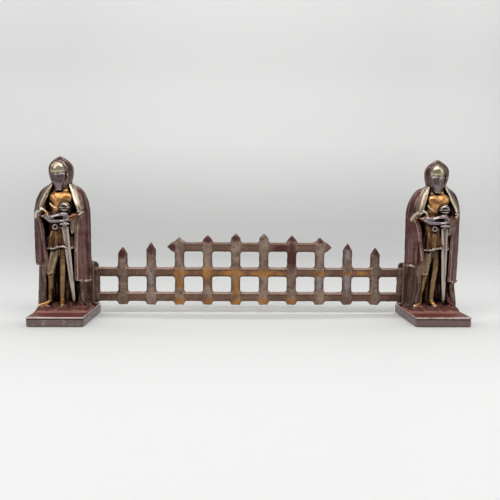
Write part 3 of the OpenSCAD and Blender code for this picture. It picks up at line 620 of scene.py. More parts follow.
cloak = Clay((-45, -23, 1), (41, 32, 188), 0.95)
cloak.press(column(CLOAK_ROWS, wave=cloak_folds, rim=2))
cloak_inside = column(grow_rows(CLOAK_ROWS, -5.5), rim=1)
cloak.cut(cloak_inside, 0.5)
cloak.cut(doorway(lambda z: edge_at(-1, z), lambda z: edge_at(1, z), 36, 190), 0.8)
cloak.cut(((-45, -23, 30), (42, 32, 60), lambda x, y, z: (z - hem_height(x, y)).astype(np.float32)), 0.8)
robe = Clay((-45, -23, 1), (41, 32, 188), 0.95)
robe_form = column(ROBE_ROWS, wave=robe_pleats)
robe.press(robe_form)
robe.cut(column(grow_rows(ROBE_ROWS, -5), rim=1), 0.5)
robe.cut(doorway(lambda z: -22.5 + 0 * z, lambda z: 23 + 0 * z, 0, 100), 0.8)
robe_folds = [limb((-30, -4.4, 68, 4), (-30.4, -5, 44, 4.4), (-31, -5, 24, 5), (-31.4, -5, 10, 5.4)),
              limb((-26.4, -9.6, 68, 3.6), (-27, -10, 44, 4), (-28, -9.6, 24, 4.4), (-28.6, -9.4, 10, 4.6)),
              limb((26.6, -6, 44, 3.4), (27.4, -7, 30, 3.8), (29, -7.6, 12, 4.6))]
for fold in robe_folds:
    robe.press(fold, 2.4)
for groove in (((-34.6, -8.6, 64, 1), (-35.4, -9.4, 40, 1.5), (-36.4, -9.6, 14, 1.6)),
               ((-29.6, -13, 64, 0.9), (-30.6, -13.8, 40, 1.5), (-32, -13.8, 14, 1.6)),
               ((-24.4, -15.4, 58, 0.8), (-25.6, -16, 38, 1.2), (-27.4, -15.8, 14, 1.3)),
               ((24.4, -11, 40, 0.8), (25, -12, 28, 1.2), (26.4, -12.6, 14, 1.3)),
               ((30.6, -8.4, 40, 1), (31.6, -9.6, 28, 1.3), (33.6, -10, 12, 1.4))):
    robe.cut(limb(*groove), 1.4)
robe_edge = limb((-21.6, -13.4, 72, 2.2), (-22.6, -14.2, 56, 2.4), (-23.4, -13.6, 42, 2.4),
                 (-24.6, -13, 28, 2.6), (-25.6, -12.4, 14, 2.6))
robe.press(robe_edge, 2.4)
x, y, z = robe.grid()
pleats = 1 - np.abs(np.sin(17 * np.arctan2(y - 3, x + 2) + 0.6 * np.sin(z / 8)))
robe.field += (1.5 * pleats ** 3 * (y > -16)).astype(np.float32)
cloak.field = soft_least(cloak.field, robe.field, 0.8)
for side, low, radius in ((-1, 66, 2.3), (1, 45, 2.2)):
    heights = [z for z in (low, 67, 85, 103, 116, 127, 136) if z >= low]
    stations = [(edge_at(side, z) - side * 0.6, z, radius) for z in heights]
    cloak.press(limb(*laid_on(CLOAK_ROWS, stations, -1.2)), 1.2)
for hem in (((-19, 66.5, 1.5), (-25, 65.4, 1.4), (-31, 65.6, 1.5), (-36, 66.4, 1.4), (-39.6, 66, 1.3)),
            ((20, 46, 1.5), (25, 43.6, 1.4), (30, 42.2, 1.5), (34, 42.4, 1.4), (37, 43, 1.3))):
    cloak.press(limb(*laid_on(CLOAK_ROWS, hem, -0.8)), 1)
# Sleeves that fall from the shoulders and run forward over the bent arms
for sleeve in (((-22, 4, 171, 5), (-26, 1, 160, 7.4), (-27, -5, 150, 7.4), (-26.6, -9.6, 142, 6.4)),
               ((19, 4, 170, 5), (23, 1, 160, 7), (25, -2.4, 150, 7), (25.4, -5.4, 142, 6))):
    cloak.press(limb(*sleeve), 4)
# Lapels turned back from the neck to the elbows. The right one ends in folds over the sleeve.
left_lapel = limb((-13.6, -3.6, 179, 3.2), (-17.4, -5.8, 174, 4.4), (-21.6, -9, 166, 5.4),
                  (-25.4, -12.8, 156, 5.6), (-27, -16, 148, 4.8), (-26.6, -17.4, 143.6, 3),
                  flat=((-0.62, -0.75, 0.25), 1.9))
right_lapel = limb((14, -2.6, 178.6, 2.6), (17.6, -4, 173.6, 3.4), (20.6, -6.2, 166, 4.1),
                   (24, -9.2, 157, 4.4), (26.8, -12, 149, 4), (27.6, -13, 144, 3),
                   flat=((0.5, -0.85, 0.2), 1.7))
lapel_rolls = [limb((-11.4, -5, 179.4, 1.2), (-14.8, -8.4, 172, 1.5), (-18.4, -12.2, 162, 1.6),
                    (-22.4, -16, 152, 1.6), (-24.6, -18, 145.6, 1.3)),
               limb((11.4, -4.6, 179.4, 1.2), (14.6, -7.6, 172, 1.5), (17.6, -10.4, 163, 1.6),
                    (21.4, -13.4, 154, 1.6), (24.8, -15, 146, 1.3))]
for piece in (left_lapel, right_lapel, *lapel_rolls):
    cloak.press(piece, 2)
lapel_folds = [limb((-15, -4.6, 178.4, 0.6), (-20, -9.6, 168.4, 1.2), (-24.4, -14.4, 157, 1.3),
                    (-26.4, -18, 148, 0.9)),
               limb((17.6, -5.4, 173, 0.6), (21, -8.6, 163, 1.1), (24.8, -12, 152.6, 1.1),
                    (27.4, -13.8, 146, 0.8))]
for fold in lapel_folds:
    cloak.press(fold, 2)
cloak.press(limb((23, -1.4, 172, 0.8), (27, -4, 164, 1.5), (30, -6, 155, 0.9)), 1.5)
sleeve_end = limb((-36.6, -6, 133, 1.4), (-35, -10, 138.4, 1.6), (-31, -14.4, 142.6, 1.7),
                  (-26, -18.2, 145, 1.8), (-21, -19.4, 144.6, 1.6), (-17.8, -18.6, 141.4, 1.3))
cloak.press(sleeve_end, 0.8)
cuff_folds = [limb((31, -11, 147, 0.7), (27.6, -13.8, 143.4, 1.4), (23.6, -14.6, 141, 0.8)),
              limb((31.6, -9.6, 141.6, 0.7), (27.6, -12.4, 139, 1.3), (23, -13.8, 137.4, 0.7))]
for fold in cuff_folds:
    cloak.press(fold, 2)
# Flat seats for the two screws at the back
CLOAK_SCREW_HEIGHTS, SEAT_RADIUS, SEAT_Y = (100, 148.5), 5.8, 25
for seat_z in CLOAK_SCREW_HEIGHTS:
    cloak.cut(((-8, 24, seat_z - 6), (4, 32, seat_z + 6), lambda x, y, z: np.maximum(
        np.hypot(x + 2, z - seat_z) - SEAT_RADIUS, SEAT_Y - y).astype(np.float32)), 0.5)
# Collar standing round the helmet's neck
cloak.press(limb(*[(-0.6 + 14 * math.cos(a), 1.5 + (10.5 if math.sin(a) < 0 else 12.5) * math.sin(a),
                    178.6 + 1.2 * math.sin(a), 1.5) for a in np.linspace(-0.5, math.pi + 0.5, 13)]), 1.5)

soften(cloak, 20, 0.09, 22)

# The darkest red tone is painted shade in the valleys of the folds.
cloak_finish = lustre(
    "cloak_mauve_lustre", (30, 12, 13), (122, 90, 84), (98, 60, 55), (178, 152, 142),
    tones=(("lapel", (152, 134, 118), (226, 210, 184)), ("valley", (66, 28, 28), (96, 52, 48)),
           ("robe", (92, 68, 58), (138, 112, 98))),
    gloss=0.3)
cloak_marks = {"lapel": [left_lapel, right_lapel, *lapel_rolls, *lapel_folds, sleeve_end, *cuff_folds]}

# ---- Helmets ----
# A close hood with a blunt peak, cast with the smooth skull cap and the plain visor plate that it
# frames. The helmet is a casting of its own, set into the cloak's collar and rubbed with silver.
HOOD_ROWS = ((168, -0.6, 3.4, 9, 8, 10), (173, -0.6, 2.4, 10.6, 10.2, 11.4),
             (178, -0.6, 1, 12.6, 11.6, 13.4), (184, -0.6, -0.6, 14.6, 12.4, 15.6),
             (191, -0.6, -1.4, 16.4, 13.4, 17), (198, -0.6, -1.6, 17.2, 14, 17.8),
             (204, -0.6, -1.9, 16.6, 13.4, 17), (208.6, -0.6, -2.2, 14.3, 11.6, 15),
             (212.4, -0.6, -2.6, 10.8, 8.8, 11.6), (215.4, -0.6, -3.2, 6.6, 5.4, 7),
             (218.6, -0.6, -3.6, 1.6, 1.6, 2))
helmet = Clay((-20, -25, 167), (19, 19, 221), 0.7)
helmet.press(column(HOOD_ROWS, rim=1.6))
# Opening for the face, with a rolled rim
opening = egg((-1.8, -14.2, 191), (12.2, 7, 21))
helmet.cut(opening, 1)
skull_cap = egg((-2, -2.6, 200.4), (14, 12.6, 13.4))
helmet.press(skull_cap, 0.8)


def visor_plate(x, y, z):
    """A plate with a keel down its middle, wide at the brow, drawn in and back to the chin."""
    off = np.abs(x + 1.7)
    outline = off - 3 - 7.2 * share((z - 171) / 22) ** 0.7
    face = -(y + 15.8) + 0.3 * off + 0.012 * (x + 1.7) ** 2 + np.clip(184 - z, 0, 20) ** 1.5 * 0.06
    ends = np.maximum(np.maximum(z - 194.4 - 0.08 * x, 171 - z), y + 3)
    return (0.9 * np.maximum(np.maximum(outline, face), ends)).astype(np.float32)


visor = (-14.7, -22, 170), (11.3, 4, 196), visor_plate
helmet.press(visor, 0.7)
# Brow line between cap and visor, and the joints down both sides of the visor
helmet.cut(limb((-11.4, -10.4, 195.8, 0.4), (-7.6, -13.6, 195.4, 1), (-1.6, -15.4, 195.2, 1.2),
                (4.4, -14, 195.8, 1), (8.4, -11, 196.4, 0.4)), 0.6)
helmet.cut(limb((-12, -11, 193.4, 0.7), (-10.4, -12.4, 184, 0.9), (-5.6, -12.4, 174.4, 0.9)), 0.8)
helmet.cut(limb((8.8, -11, 194, 0.7), (7, -12.4, 184, 0.9), (2.4, -12.4, 174.4, 0.9)), 0.8)

soften(helmet, 8, 0.13, 23)

helmet_finish = lustre(
    "helmet_silver_lustre", (34, 15, 20), (118, 98, 92), (96, 72, 66), (186, 170, 150),
    tones=(("cap", (190, 176, 150), (252, 248, 236)), ("visor", (130, 112, 112), (186, 174, 174))),
    gloss=0.22, grain=1.4)
helmet_marks = {"cap": [skull_cap], "visor": [visor]}

# ---- Swords ----
# Each knight's sword is a separate casting, rubbed with silver. It stands point down on the ground,
# gripped below its domed pommel, and its keeled blade tapers to the tip.
sword = Clay((-4, -27, 3), (24, -1, 160), 0.5)
BLADE_TIP_Z, BLADE_TOP_Z = 9.5, 120.5


def blade(x, y, z):
    """The blade, leaning back from the guard to the tip. t is 0 at the tip and 1 at the guard."""
    t = share((z - BLADE_TIP_Z) / (BLADE_TOP_Z - BLADE_TIP_Z))
    u, v = x - (15 - 7.1 * t), y - (-6.6 - 12 * t)
    half = np.interp(t, (0, 0.06, 0.3, 1), (0.8, 2.1, 3.3, 4.7)).astype(np.float32)
    keel = np.abs(v) * 1.5 + np.maximum(np.abs(u) - 0.2, 0) * 0.6 - 0.6 * half - 0.7
    ends = np.maximum(z - (BLADE_TOP_Z + 0.5), BLADE_TIP_Z - 0.1 - z)
    return (0.8 * np.maximum(np.maximum(np.abs(u) - half, keel), ends)).astype(np.float32)


sword.press(((0, -24, 9), (20, -2, 121), blade))
sword.press(limb((8, -18.6, 118, 2.9), (7.4, -18.6, 150, 2.7)))
sword.press(limb((2.6, -20, 124.6, 1.7), (8, -20.8, 125, 1.9), (13.2, -19.8, 124.8, 1.6)), 0.8)
sword.press(egg((7.2, -17.4, 144.2), (6.8, 6, 1.9)), 0.8)
dome = egg((7.2, -15.6, 146.4), (8.5, 7.4, 9.6))
sword.press(((-2, -24, 146), (16, -7, 158), lambda x, y, z: np.maximum(dome[2](x, y, z), 146.2 - z)), 0.8)
sword.cut(egg((6.4, -24, 148.2), (5.6, 5.4, 3.2)), 0.8)

sword_finish = lustre("sword_silver_lustre", (28, 14, 15), (152, 137, 128), (116, 98, 88),
                      (184, 170, 160), gloss=0.2, grain=2.0)

# ---- Standing both figures on their plinths ----
# Each figure's knight, cloak, helmet and sword are fitted into one another, and screws from below
# hold the knight on its plinth. Every point is told how deep in a hollow or near another part it
# lies, for painted shade with patina, how near an edge, for wear and painted highlight, and on
# which part of the carving, and the finishes read those marks.
def mark(form, points, blur=1.0):
    """1 on a form's surface, falling to 0 beyond the blur."""
    return share(1 - form[2](*points.T.astype(np.float32)) / blur)


def make_mesh(name, points, quads, marks, finish):
    """A smooth mesh from points in mm, with a value at each point for every mark."""
    mesh = bpy.data.meshes.new(name)
    mesh.vertices.add(len(points))
    mesh.vertices.foreach_set("co", (points * MM).astype(np.float32).ravel())
    mesh.loops.add(quads.size)
    mesh.loops.foreach_set("vertex_index", quads.astype(np.int32).ravel())
    mesh.polygons.add(len(quads))
    mesh.polygons.foreach_set("loop_start", np.arange(0, quads.size, 4, dtype=np.int32))
    mesh.polygons.foreach_set("use_smooth", np.ones(len(quads), bool))
    for key, values in marks.items():
        mesh.attributes.new(key, "FLOAT", "POINT").data.foreach_set("value", values.astype(np.float32))
    mesh.update()
    mesh.validate()
    mesh.materials.append(finish)
    return mesh


def stand(name, points, quads, marks, finish, thin=0.5):
    """An object with a cast's mesh, its faces thinned out where the surface is even."""
    piece = bpy.data.objects.new(name, make_mesh(name, points, quads, marks, finish))
    bpy.context.scene.collection.objects.link(piece)
    if thin < 1:
        piece.modifiers.new("thin", "DECIMATE").ratio = thin
        even = bpy.data.meshes.new_from_object(piece.evaluated_get(bpy.context.evaluated_depsgraph_get()))
        piece.modifiers.clear()
        piece.data = even
        even.name = name
        even.polygons.foreach_set("use_smooth", np.ones(len(even.polygons), bool))
    return piece


def hollows(points, own, others):
    """How deep each point lies in a hollow or near another part, for painted shade with patina, and
    how sharp an edge it sits on, for wear and painted highlight.
    """
    step = own.cell
    along = [(own.depth(points + shift) - own.depth(points - shift)) for shift in np.eye(3) * step]
    normals = np.stack(along, axis=1)
    normals /= np.linalg.norm(normals, axis=1)[:, None] + 1e-6
    recess = 0
    for reach, weight in ((2.0, 0.3), (4.5, 0.35), (8.0, 0.35)):
        nearest = np.min([clay.depth(points + reach * normals) for clay in others], axis=0)
        recess = recess + weight * share(1 - nearest / reach)
    ridge = share(1 + own.depth(points - 2.4 * normals) / 2.4)
    return recess, ridge


DOG_X, PLINTH_H = 267, 14
figure = {"knight": (knight, knight_finish, knight_marks), "cloak": (cloak, cloak_finish, cloak_marks),
          "helmet": (helmet, helmet_finish, helmet_marks), "sword": (sword, sword_finish, {})}
for name, (clay, finish, places) in figure.items():
    points, quads = clay.skin()
    recess, ridge = hollows(points, clay, [entry[0] for entry in figure.values()])
    marks = {"recess": recess, "ridge": ridge}
    for key, forms in places.items():
        blur = {"plate": 3.4, "lapel": 2}.get(key, 1)
        marks[key] = np.max([mark(form, points, blur) for form in forms], axis=0)
    if name == "knight":
        low = share((11 - points[:, 2]) / 2)
        marks["ground"] = np.maximum(marks["ground"], low) * (1 - marks["foot"])
        # Less painted shade on the ground.
        marks["recess"] = recess * (1 - 0.4 * marks["ground"])
    if name == "cloak":
        # Painted shade in the valleys of the cloak's folds, but not on the lapels.
        around = np.arctan2(points[:, 1] - 3, points[:, 0] + 2)
        valley = np.clip(-0.75 * cloak_folds(around, points[:, 2]) - 0.1, 0, 0.9)
        marks["valley"] = valley * (1 - marks["lapel"])
        robe_parts = (robe_form, robe_edge, *robe_folds)
        marks["robe"] = np.max([mark(form, points, 1.5) for form in robe_parts], axis=0)
        at = points.T.astype(np.float32)
        # Painted shade inside the robe, darker towards the back.
        lining_shade = (cloak_inside[2](*at) < 1.5) * (points[:, 2] < 150) * (np.abs(robe_form[2](*at)) > 2)
        marks["recess"] = np.maximum(recess, share((points[:, 1] - 2) / 6) * lining_shade)
    for side, word in ((-1, "left_"), (1, "right_")):
        placed = points + np.array((side * DOG_X, 0, PLINTH_H))
        piece = stand(word + name + "_cast", placed, quads, marks, finish)
        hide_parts(word + name)
        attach(piece, "fire_dogs")

# ---- Plinths ----
# Cast iron blocks that stand on the hearth, open underneath, with rounded corners and a bead along
# the top edge. Four walls and a cross of ribs carry the top plate.
PLINTH_W, PLINTH_D, PLINTH_WALL, PLINTH_RIB, PLINTH_PLATE = 78, 102, 5, 4, 6
GROOVE_LOW, GROOVE_DEPTH, BEAD_LOW, BEAD_OUT = 10.8, 0.6, 11.6, 0.2


def block(low, high, rounding=1.0):
    """A straight block with rounded edges."""
    middle, half = (np.array(low, float) + high) / 2, (np.array(high, float) - low) / 2 - rounding

    def distance(x, y, z):
        gaps = [np.abs(v - middle[i]) - half[i] for i, v in enumerate((x, y, z))]
        outside = np.sqrt(sum(np.maximum(gap, 0) ** 2 for gap in gaps))
        inside = np.minimum(np.maximum(np.maximum(gaps[0], gaps[1]), gaps[2]), 0)
        return (outside + inside - rounding).astype(np.float32)
    return low, high, distance


half_w, half_d = PLINTH_W / 2, PLINTH_D / 2
bead_w, bead_d = half_w + BEAD_OUT, half_d + BEAD_OUT
plinth = Clay((-half_w - 2, -half_d - 2, -2), (half_w + 2, half_d + 2, PLINTH_H + 2), 0.96)
plinth.press(block((-half_w, -half_d, 0), (half_w, half_d, PLINTH_H), 3))
plinth.press(block((-bead_w, -bead_d, BEAD_LOW), (bead_w, bead_d, PLINTH_H), 1.1), 0.5)
in_w, in_d, out_w, out_d = half_w - GROOVE_DEPTH, half_d - GROOVE_DEPTH, half_w + 3, half_d + 3
for low, high in (((-out_w, -out_d), (out_w, -in_d)), ((-out_w, in_d), (out_w, out_d)),
                  ((-out_w, -out_d), (-in_w, out_d)), ((in_w, -out_d), (out_w, out_d))):
    plinth.cut(block((*low, GROOVE_LOW), (*high, BEAD_LOW), 0.3), 1)
cell_w = (PLINTH_W - 2 * PLINTH_WALL - PLINTH_RIB) / 2
cell_d = (PLINTH_D - 2 * PLINTH_WALL - PLINTH_RIB) / 2
for i in (-1, 1):
    for j in (-1, 1):
        x, y = i * (cell_w + PLINTH_RIB) / 2, j * (cell_d + PLINTH_RIB) / 2
        low, high = (x - cell_w / 2, y - cell_d / 2, -4), (x + cell_w / 2, y + cell_d / 2)
        plinth.cut(block(low, (*high, PLINTH_H - PLINTH_PLATE), 1.5))
soften(plinth, 30, 0.12, 3)
# The bead's tone is a painted highlight along the top edge.
plinth_finish = lustre("plinth_maroon_lustre", (30, 12, 12), (114, 62, 55), (98, 48, 43), (172, 130, 122),
                       tones=(("side", (122, 102, 98), (196, 186, 184)),
                              ("ground", (122, 68, 60), (160, 108, 98)),
                              ("bead", (138, 98, 90), (206, 184, 178))), gloss=0.3, grain=2.6)
points, quads = plinth.skin()
recess, ridge = hollows(points, plinth, [plinth])
outer = np.maximum(np.abs(points[:, 0]) - (half_w - 0.8), np.abs(points[:, 1]) - (half_d - 0.8))
z, groove_z = points[:, 2], (GROOVE_LOW + BEAD_LOW) / 2
# Painted shade along the groove under the bead.
groove = share(1 - np.abs(z - groove_z) / 0.9) * (outer > -2)
marks = {"recess": np.maximum(recess, groove), "ridge": ridge,
         "side": share((groove_z - z) / 0.8),
         "bead": share((outer + 1.2) / 1.2) * (np.abs(z - 12.9) < 1.3),
         "ground": share(-1.5 - outer) * (z > 13)}
for side, word in ((-1, "left_"), (1, "right_")):
    placed = points + np.array((side * DOG_X, 0, 0))
    piece = stand(word + "plinth_cast", placed, quads, marks, plinth_finish, thin=1)
    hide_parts(word + "plinth")
    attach(piece, "fire_dogs")

# ---- Socket posts ----
# A stout cast iron post behind each knight, with an ogee shoulder, screwed up through the plinth.
# The fret's tongue drops into its slot, and its front and back cheeks are cut back where the rails
# lap over them. Sizes are told for the left post, from the middle of its knight.
POST_FRONT, POST_BACK, POST_OUT, POST_IN, POST_H, SHOULDER_X, SHOULDER_Z = 30.5, 47, 6, 38, 75, 27.5, 65
FRET_Y, BAR_T, TONGUE_T, TONGUE_REACH, RAIL_LAP = 38.75, 8, 5, 9, 3
# Room round the tongue and rail ends, more than both castings' unevenness together
SLOT_ROOM, SLOT_FLOOR = 1.0, 5
slot_x, lap_x = POST_IN - TONGUE_REACH - SLOT_ROOM, POST_IN - RAIL_LAP - SLOT_ROOM
slot_half, past_x, past_z = TONGUE_T / 2 + SLOT_ROOM, POST_IN + 4, 90
post = Clay((3, 28, -2), (41, 50, 79), 0.8)
post.press(block((POST_OUT, POST_FRONT, 0), (POST_IN, POST_BACK, SHOULDER_Z), 2.4))
post.press(block((POST_OUT, POST_FRONT, 50), (SHOULDER_X, POST_BACK, POST_H), 2.4), 5)
post.cut(limb((39, 28, 66, 4.5), (39, 50, 66, 4.5)), 1.5)
post.cut(block((slot_x, FRET_Y - slot_half, SLOT_FLOOR), (past_x, FRET_Y + slot_half, past_z), 0.5))
post.cut(block((lap_x, 26, SLOT_FLOOR), (past_x, FRET_Y, past_z), 0.5))
post.cut(block((lap_x, FRET_Y - 1, SLOT_FLOOR), (past_x, FRET_Y + BAR_T / 2 + SLOT_ROOM, past_z), 0.5))
soften(post, 16, 0.22, 5)
post_finish = lustre("post_brown_lustre", (26, 14, 12), (146, 112, 98), (128, 92, 76), (170, 148, 136),
                     gloss=0.42, metal=0.75, grain=2.0)
points, quads = post.skin()
recess, ridge = hollows(points, post, [post])
for side, word in ((-1, "left_"), (1, "right_")):
    placed = points * np.array((-side, 1, 1)) + np.array((side * DOG_X, 0, PLINTH_H))
    turned = quads if side < 0 else quads[:, ::-1]
    piece = stand(word + "post_cast", placed, turned, {"recess": recess, "ridge": ridge}, post_finish,
                  thin=0.4)
    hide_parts(word + "socket_post")
    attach(piece, "fire_dogs")

# ---- Screws ----
# Slotted cheese-head screws of plain steel, dulled by handling. Two hold each knight and two each
# post from under the plinth, and two go through the back of each cloak into the knight.
SCREW_HEAD, SCREW_HEAD_H, SCREW_SHANK, SCREW_PITCH = 4.5, 3, 2.3, 1.7


def screw(length):
    """One screw standing on its head's face, with its slot along X."""
    def distance(x, y, z):
        off = np.hypot(x, y)
        rim = off - SCREW_HEAD + 0.4 * share(1 - z) ** 2
        head = np.maximum(rim, np.maximum(-z, z - SCREW_HEAD_H))
        thread = off - SCREW_SHANK - 0.2 * np.sin(z * 2 * math.pi / SCREW_PITCH - np.arctan2(y, x))
        shank = np.maximum(thread, np.maximum(1 - z, z - length + 0.5 * np.maximum(off - 1.6, 0)))
        return np.minimum(head, shank).astype(np.float32)
    clay = Clay((-6, -6, -1), (6, 6, length + 1), 0.55)
    clay.press(((-5, -5, 0), (5, 5, length), distance), 0.3)
    clay.cut(block((-6, -0.7, -2), (6, 0.7, 1.1), 0.2), 0.3)
    return clay


screw_finish = lustre("screw_dull_steel", (26, 20, 18), (132, 128, 128), (104, 92, 84),
                      (190, 186, 186), gloss=0.3, grain=1.4)
from_below, from_behind = np.eye(3), np.array(((1, 0, 0), (0, 0, -1), (0, 1, 0)))
# Each set's name, length, direction and the places of its heads on one side
screw_sets = (
    ("body_screws", 14, from_below, lambda side: [(side * DOG_X + x, 12, 5) for x in (-17, 13)]),
    ("post_screws", 19, from_below, lambda side: [(side * (DOG_X - x), FRET_Y, 5) for x in (11.5, 23)]),
    ("cloak_screws", 17, from_behind,
     lambda side: [(side * DOG_X - 2, 28, PLINTH_H + z) for z in CLOAK_SCREW_HEIGHTS]))
for name, length, turned, places in screw_sets:
    clay = screw(length)
    points, quads = clay.skin()
    recess, ridge = hollows(points, clay, [clay])
    marks = {"recess": np.tile(recess, 2), "ridge": np.tile(ridge, 2)}
    for side, word in ((-1, "left_"), (1, "right_")):
        placed = np.concatenate([points @ turned.T + np.array(place) for place in places(side)])
        both = np.concatenate((quads, quads + len(points)))
        piece = stand(word + name + "_made", placed, both, marks, screw_finish)
        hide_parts(word + name)
        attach(piece, "fire_dogs")

# ---- Portcullis fret ----
# Ten pickets, three rails and an end tongue at each side, cast in one piece in open sand. The bars
# have bevelled fronts and filleted crossings, and their surface is rough, pale on the edges, which
# is partly wear and partly painted highlight, and stained with rust. Painted light lies on the top
# bevels and painted shade on the flanks and in the creases under the bevels. The fret isn't fixed:
# it lifts out of the posts.
PICKETS, PITCH, BAR_HALF, FACE_HALF, BEVEL = 10, 42.6, 7, 3.4, 3.4
RAIL_HEIGHTS, UPPER_RAIL, CROWN_HALF = (26, 63.8), 102, 2.5 * PITCH + 18.5
FOOT_Z, FOOT_TOP, FOOT_HALF, FOOT_SPREAD = 14, 20, 6.4, 0.4
# The highest point of the six middle pickets and of the two at each side, how much lower each next
# one ends, and how long their points are
CROWN_TIP, CROWN_FALL, CROWN_POINT = 123.2, 2.9, 7.5
SIDE_TIP, SIDE_FALL, SIDE_POINT = 108.9, 6.4, 11
picket_x = [(i - 4.5) * PITCH for i in range(PICKETS)]
low_z, high_z = RAIL_HEIGHTS[0] - BAR_HALF, RAIL_HEIGHTS[1] + BAR_HALF
rail_half, tongue_half = DOG_X - POST_IN + RAIL_LAP, DOG_X - POST_IN + TONGUE_REACH
front_y = FRET_Y - BAR_T / 2


def bar_section(across, y):
    """Distance from a bevelled bar's outline, at a distance across it from its middle."""
    deep = y - front_y
    slope = math.hypot(BEVEL, BAR_HALF - FACE_HALF)
    bevel = (BEVEL * (across - FACE_HALF) - (BAR_HALF - FACE_HALF) * deep) / slope
    return np.maximum(np.maximum(across - BAR_HALF, bevel), np.maximum(-deep, deep - BAR_T))


def picket(x0, low, tip, point):
    """A picket standing at x0. Above its shoulder the section narrows to the tip."""
    def distance(x, y, z):
        narrow = np.maximum(z - tip + point, 0) * BAR_HALF / point
        steep = np.where(narrow > 0, point / math.hypot(point, BAR_HALF), 1.0)
        return (np.maximum(bar_section(np.abs(x - x0) + narrow, y) * steep, low - z)).astype(np.float32)
    return (x0 - BAR_HALF, front_y, low), (x0 + BAR_HALF, front_y + BAR_T, tip), distance


def rail(z0, half, point=None):
    """A rail at height z0. With a point's length given, both its ends narrow to a point."""
    def distance(x, y, z):
        narrow = np.maximum(np.abs(x) - half + point, 0) * BAR_HALF / point if point else 0
        return np.maximum(bar_section(np.abs(z - z0) + narrow, y), np.abs(x) - half).astype(np.float32)
    return (-half, front_y, z0 - BAR_HALF), (half, front_y + BAR_T, z0 + BAR_HALF), distance


def foot(x0):
    """The short foot under the lower rail, wider than the picket and tapered down."""
    def distance(x, y, z):
        side = np.abs(x - x0) - FOOT_HALF - FOOT_SPREAD * (z - FOOT_Z)
        return np.maximum(np.maximum(side * 0.93, np.maximum(FOOT_Z - z, z - FOOT_TOP)),
                          np.maximum(front_y + 1 - y, y - front_y - BAR_T)).astype(np.float32)
    return (x0 - 9, front_y, FOOT_Z), (x0 + 9, front_y + BAR_T, FOOT_TOP), distance


fret = Clay((-241, 32, 11), (241, 45, 126), 1.0)
for z in RAIL_HEIGHTS:
    fret.press(rail(z, rail_half), 1)
fret.press(rail(UPPER_RAIL, CROWN_HALF, CROWN_POINT), 1)
for i, x0 in enumerate(picket_x):
    off = abs(i - 4.5)
    if off < 3:
        tip, point = CROWN_TIP - CROWN_FALL * (off - 0.5), CROWN_POINT
    else:
        tip, point = SIDE_TIP - SIDE_FALL * (off - 3.5), SIDE_POINT
    fret.press(picket(x0, low_z, tip, point), 4.5)
    fret.press(foot(x0), 1.5)
for side in (-1, 1):
    near, far = sorted((side * (rail_half - 6), side * tongue_half))
    fret.press(block((near, FRET_Y - TONGUE_T / 2, low_z), (far, FRET_Y + TONGUE_T / 2, high_z), 0.8), 0.5)
# Both faces are cut flat, so that the fillets at the crossings don't stand proud of them
for near, far in ((28, front_y), (front_y + BAR_T, 50)):
    fret.cut(block((-245, near, 8), (245, far, 130), 0.1), 0.8)
soften(fret, 14, 0.16, 8)
soften(fret, 5, 0.04, 9)


def stain(points, *places):
    """1 in the middle of each stain, falling to 0 at its rim. A stain is (picket's number, distance
    to its right, height, half width, half height)."""
    x, z = points[:, 0], points[:, 2]
    spots = [np.hypot((x - (picket_x[i] + aside)) / wide, (z - high) / tall)
             for i, aside, high, wide, tall in places]
    return np.max([share(1.5 - 1.1 * spot) for spot in spots], axis=0)


def rough_iron():
    """Bare cast iron: grey brown and pitted, with painted light on the top bevels, painted shade on the
    flanks and in the creases under the bevels, pale edges that are partly wear and partly painted
    highlight, rust on the middle rail and the feet, old red oxide on some heads and one bluish picket."""
    finish, wash = new_finish("fret_rough_iron")
    where = wash.node("TexCoord", out=3)
    cloud = noise(wash, where, 30.0, 6.0, Roughness=0.6, Distortion=1.0)
    mottle = noise(wash, where, 150.0, 5.0, Roughness=0.65)
    sand = noise(wash, where, 620.0, 3.0, Roughness=0.6)
    keys = ("ridge", "upper", "flank", "rail", "rust", "oxide", "blue", "seam")
    ridge, upper, flank, between, rust, oxide, blue, seam = (
        wash.node("Attribute", {"attribute_name": key}, out=2) for key in keys)
    uneven = (mottle - 0.5) * 1.4 + (sand - 0.5) * 0.7
    blotches = (cloud * 0.5 + mottle * 0.35 + sand * 0.15).between(0.42, 0.58)
    tone = blotches.over(paint(114, 90, 78), paint(160, 136, 120))
    tone = (between + uneven * 1.2).between(0.2, 1.6).over(tone, paint(102, 66, 48))
    tone = (blue + uneven).between(0.35, 1.3).over(tone, paint(148, 142, 148))
    tone = (oxide + uneven).between(0.2, 0.95).over(tone, paint(84, 40, 36))
    stained = cloud.between(0.4, 0.62).over(paint(130, 88, 52), paint(184, 126, 54))
    tone = (rust + uneven * 0.45).between(0.0, 1.3).over(tone, stained)
    # Painted light on the top bevels.
    tone = (upper * 0.8 + uneven * 0.7).between(0.2, 0.95).over(tone, paint(164, 134, 120))
    # Painted shade on the flanks and undersides.
    tone = (flank + uneven * 0.2).between(0.3, 0.9).over(tone, paint(58, 42, 38))
    # Painted shade in the creases under the bevels.
    tone = (seam + uneven * 0.4).between(0.2, 0.7).over(tone, paint(52, 30, 26))
    # Pale edges: partly wear, partly painted highlight.
    tone = (ridge + uneven * 0.5).between(0.35, 0.9).over(tone, paint(158, 132, 118))
    tone = (1.0 - sand).between(0.58, 0.8).over(tone, paint(66, 46, 40))
    tone = sand.between(0.62, 0.84).over(tone, paint(180, 158, 142))
    rough = mottle * 0.35 + sand * 0.2 + 0.2
    normal = wash.node("Bump", inputs={"Height": mottle + sand * 0.35, "Distance": 0.0011, "Strength": 0.7})
    lay_surface(wash, wash.node("BsdfPrincipled", inputs={
        "Base Color": tone, "Metallic": 0.45, "Roughness": rough, "Normal": normal}))
    return finish


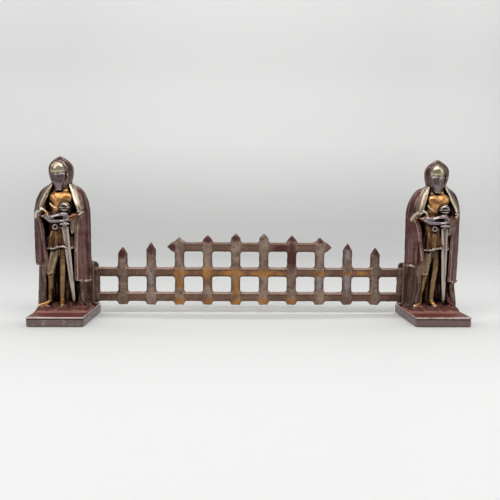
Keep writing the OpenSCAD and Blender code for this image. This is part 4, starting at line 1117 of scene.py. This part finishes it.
def bar_marks(points, own):
    """Where the top bevels lie, for painted light, the flanks and the creases between bevel and face,
    for painted shade, and the rails between the pickets."""
    shifts = np.eye(3) * 0.7
    facing = np.stack([own.depth(points + shift) - own.depth(points - shift) for shift in shifts], axis=1)
    facing /= np.linalg.norm(facing, axis=1)[:, None] + 1e-6
    front = share(1 - (points[:, 1] - front_y) / 5) > 0.1
    # Painted light on bevels that face up, painted shade on faces that look aside or down.
    upper = share(facing[:, 2] * 2 - 0.5) * front * np.where(points[:, 2] > 90, 0.6, 1)
    flank = share(np.maximum(np.abs(facing[:, 0]), -facing[:, 2]) * 2 - 0.9)
    # The creases between bevel and face get painted shade.
    nearest = 99
    for z in (*RAIL_HEIGHTS, UPPER_RAIL):
        nearest = np.minimum(nearest, np.abs(points[:, 2] - z - FACE_HALF - 0.2))
    between = share((np.abs((points[:, 0] / PITCH) % 1 - 0.5) * PITCH - 5.5) / 2) * front
    return {"upper": upper, "flank": flank, "rail": between,
            "seam": share(1 - nearest / 1.1) * between}


points, quads = fret.skin()
marks = {"ridge": hollows(points, fret, [fret])[1], **bar_marks(points, fret)}
RUST = (*((i, 0, 18, 11, 8) for i in (2, 3, 4, 5, 6)),
        (4, 0, 40, 7, 24), (2, 0, 48, 8, 12), (3, 0, 58, 9, 16), (2, 0, 63, 12, 7),
        (4, 0, 63, 26, 8), (3, 0, 63, 26, 6), (5, 0, 62, 26, 7), (6, -20, 62, 14, 5),
        (7, 0, 62, 14, 5), (8, 0, 62, 12, 4), (8, 22, 63, 9, 4))
OXIDE = ((0, 0, 92, 6, 9), (1, 0, 98, 6, 8), (6, 0, 88, 9, 24), (6, -16, 101, 14, 6),
         (6, 0, 116, 8, 6), (3, 0, 114, 7, 6), (4, 0, 116, 6, 5), (2, -12, 102, 9, 6),
         (7, 0, 113, 7, 5), (8, 0, 104, 6, 6), (9, 0, 96, 6, 7))
BLUE = ((8, 0, 46, 6, 22), (8, 0, 92, 4.5, 12), (7, 0, 46, 5, 16), (5, 14, 42, 5, 14),
        (1, 0, 52, 5, 14))
marks["rust"] = stain(points, *RUST) * (1 - marks["upper"])
marks["oxide"] = stain(points, *OXIDE)
marks["blue"] = stain(points, *BLUE)
piece = stand("fret_cast", points, quads, marks, rough_iron())
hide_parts("fret")
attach(piece, "fret")
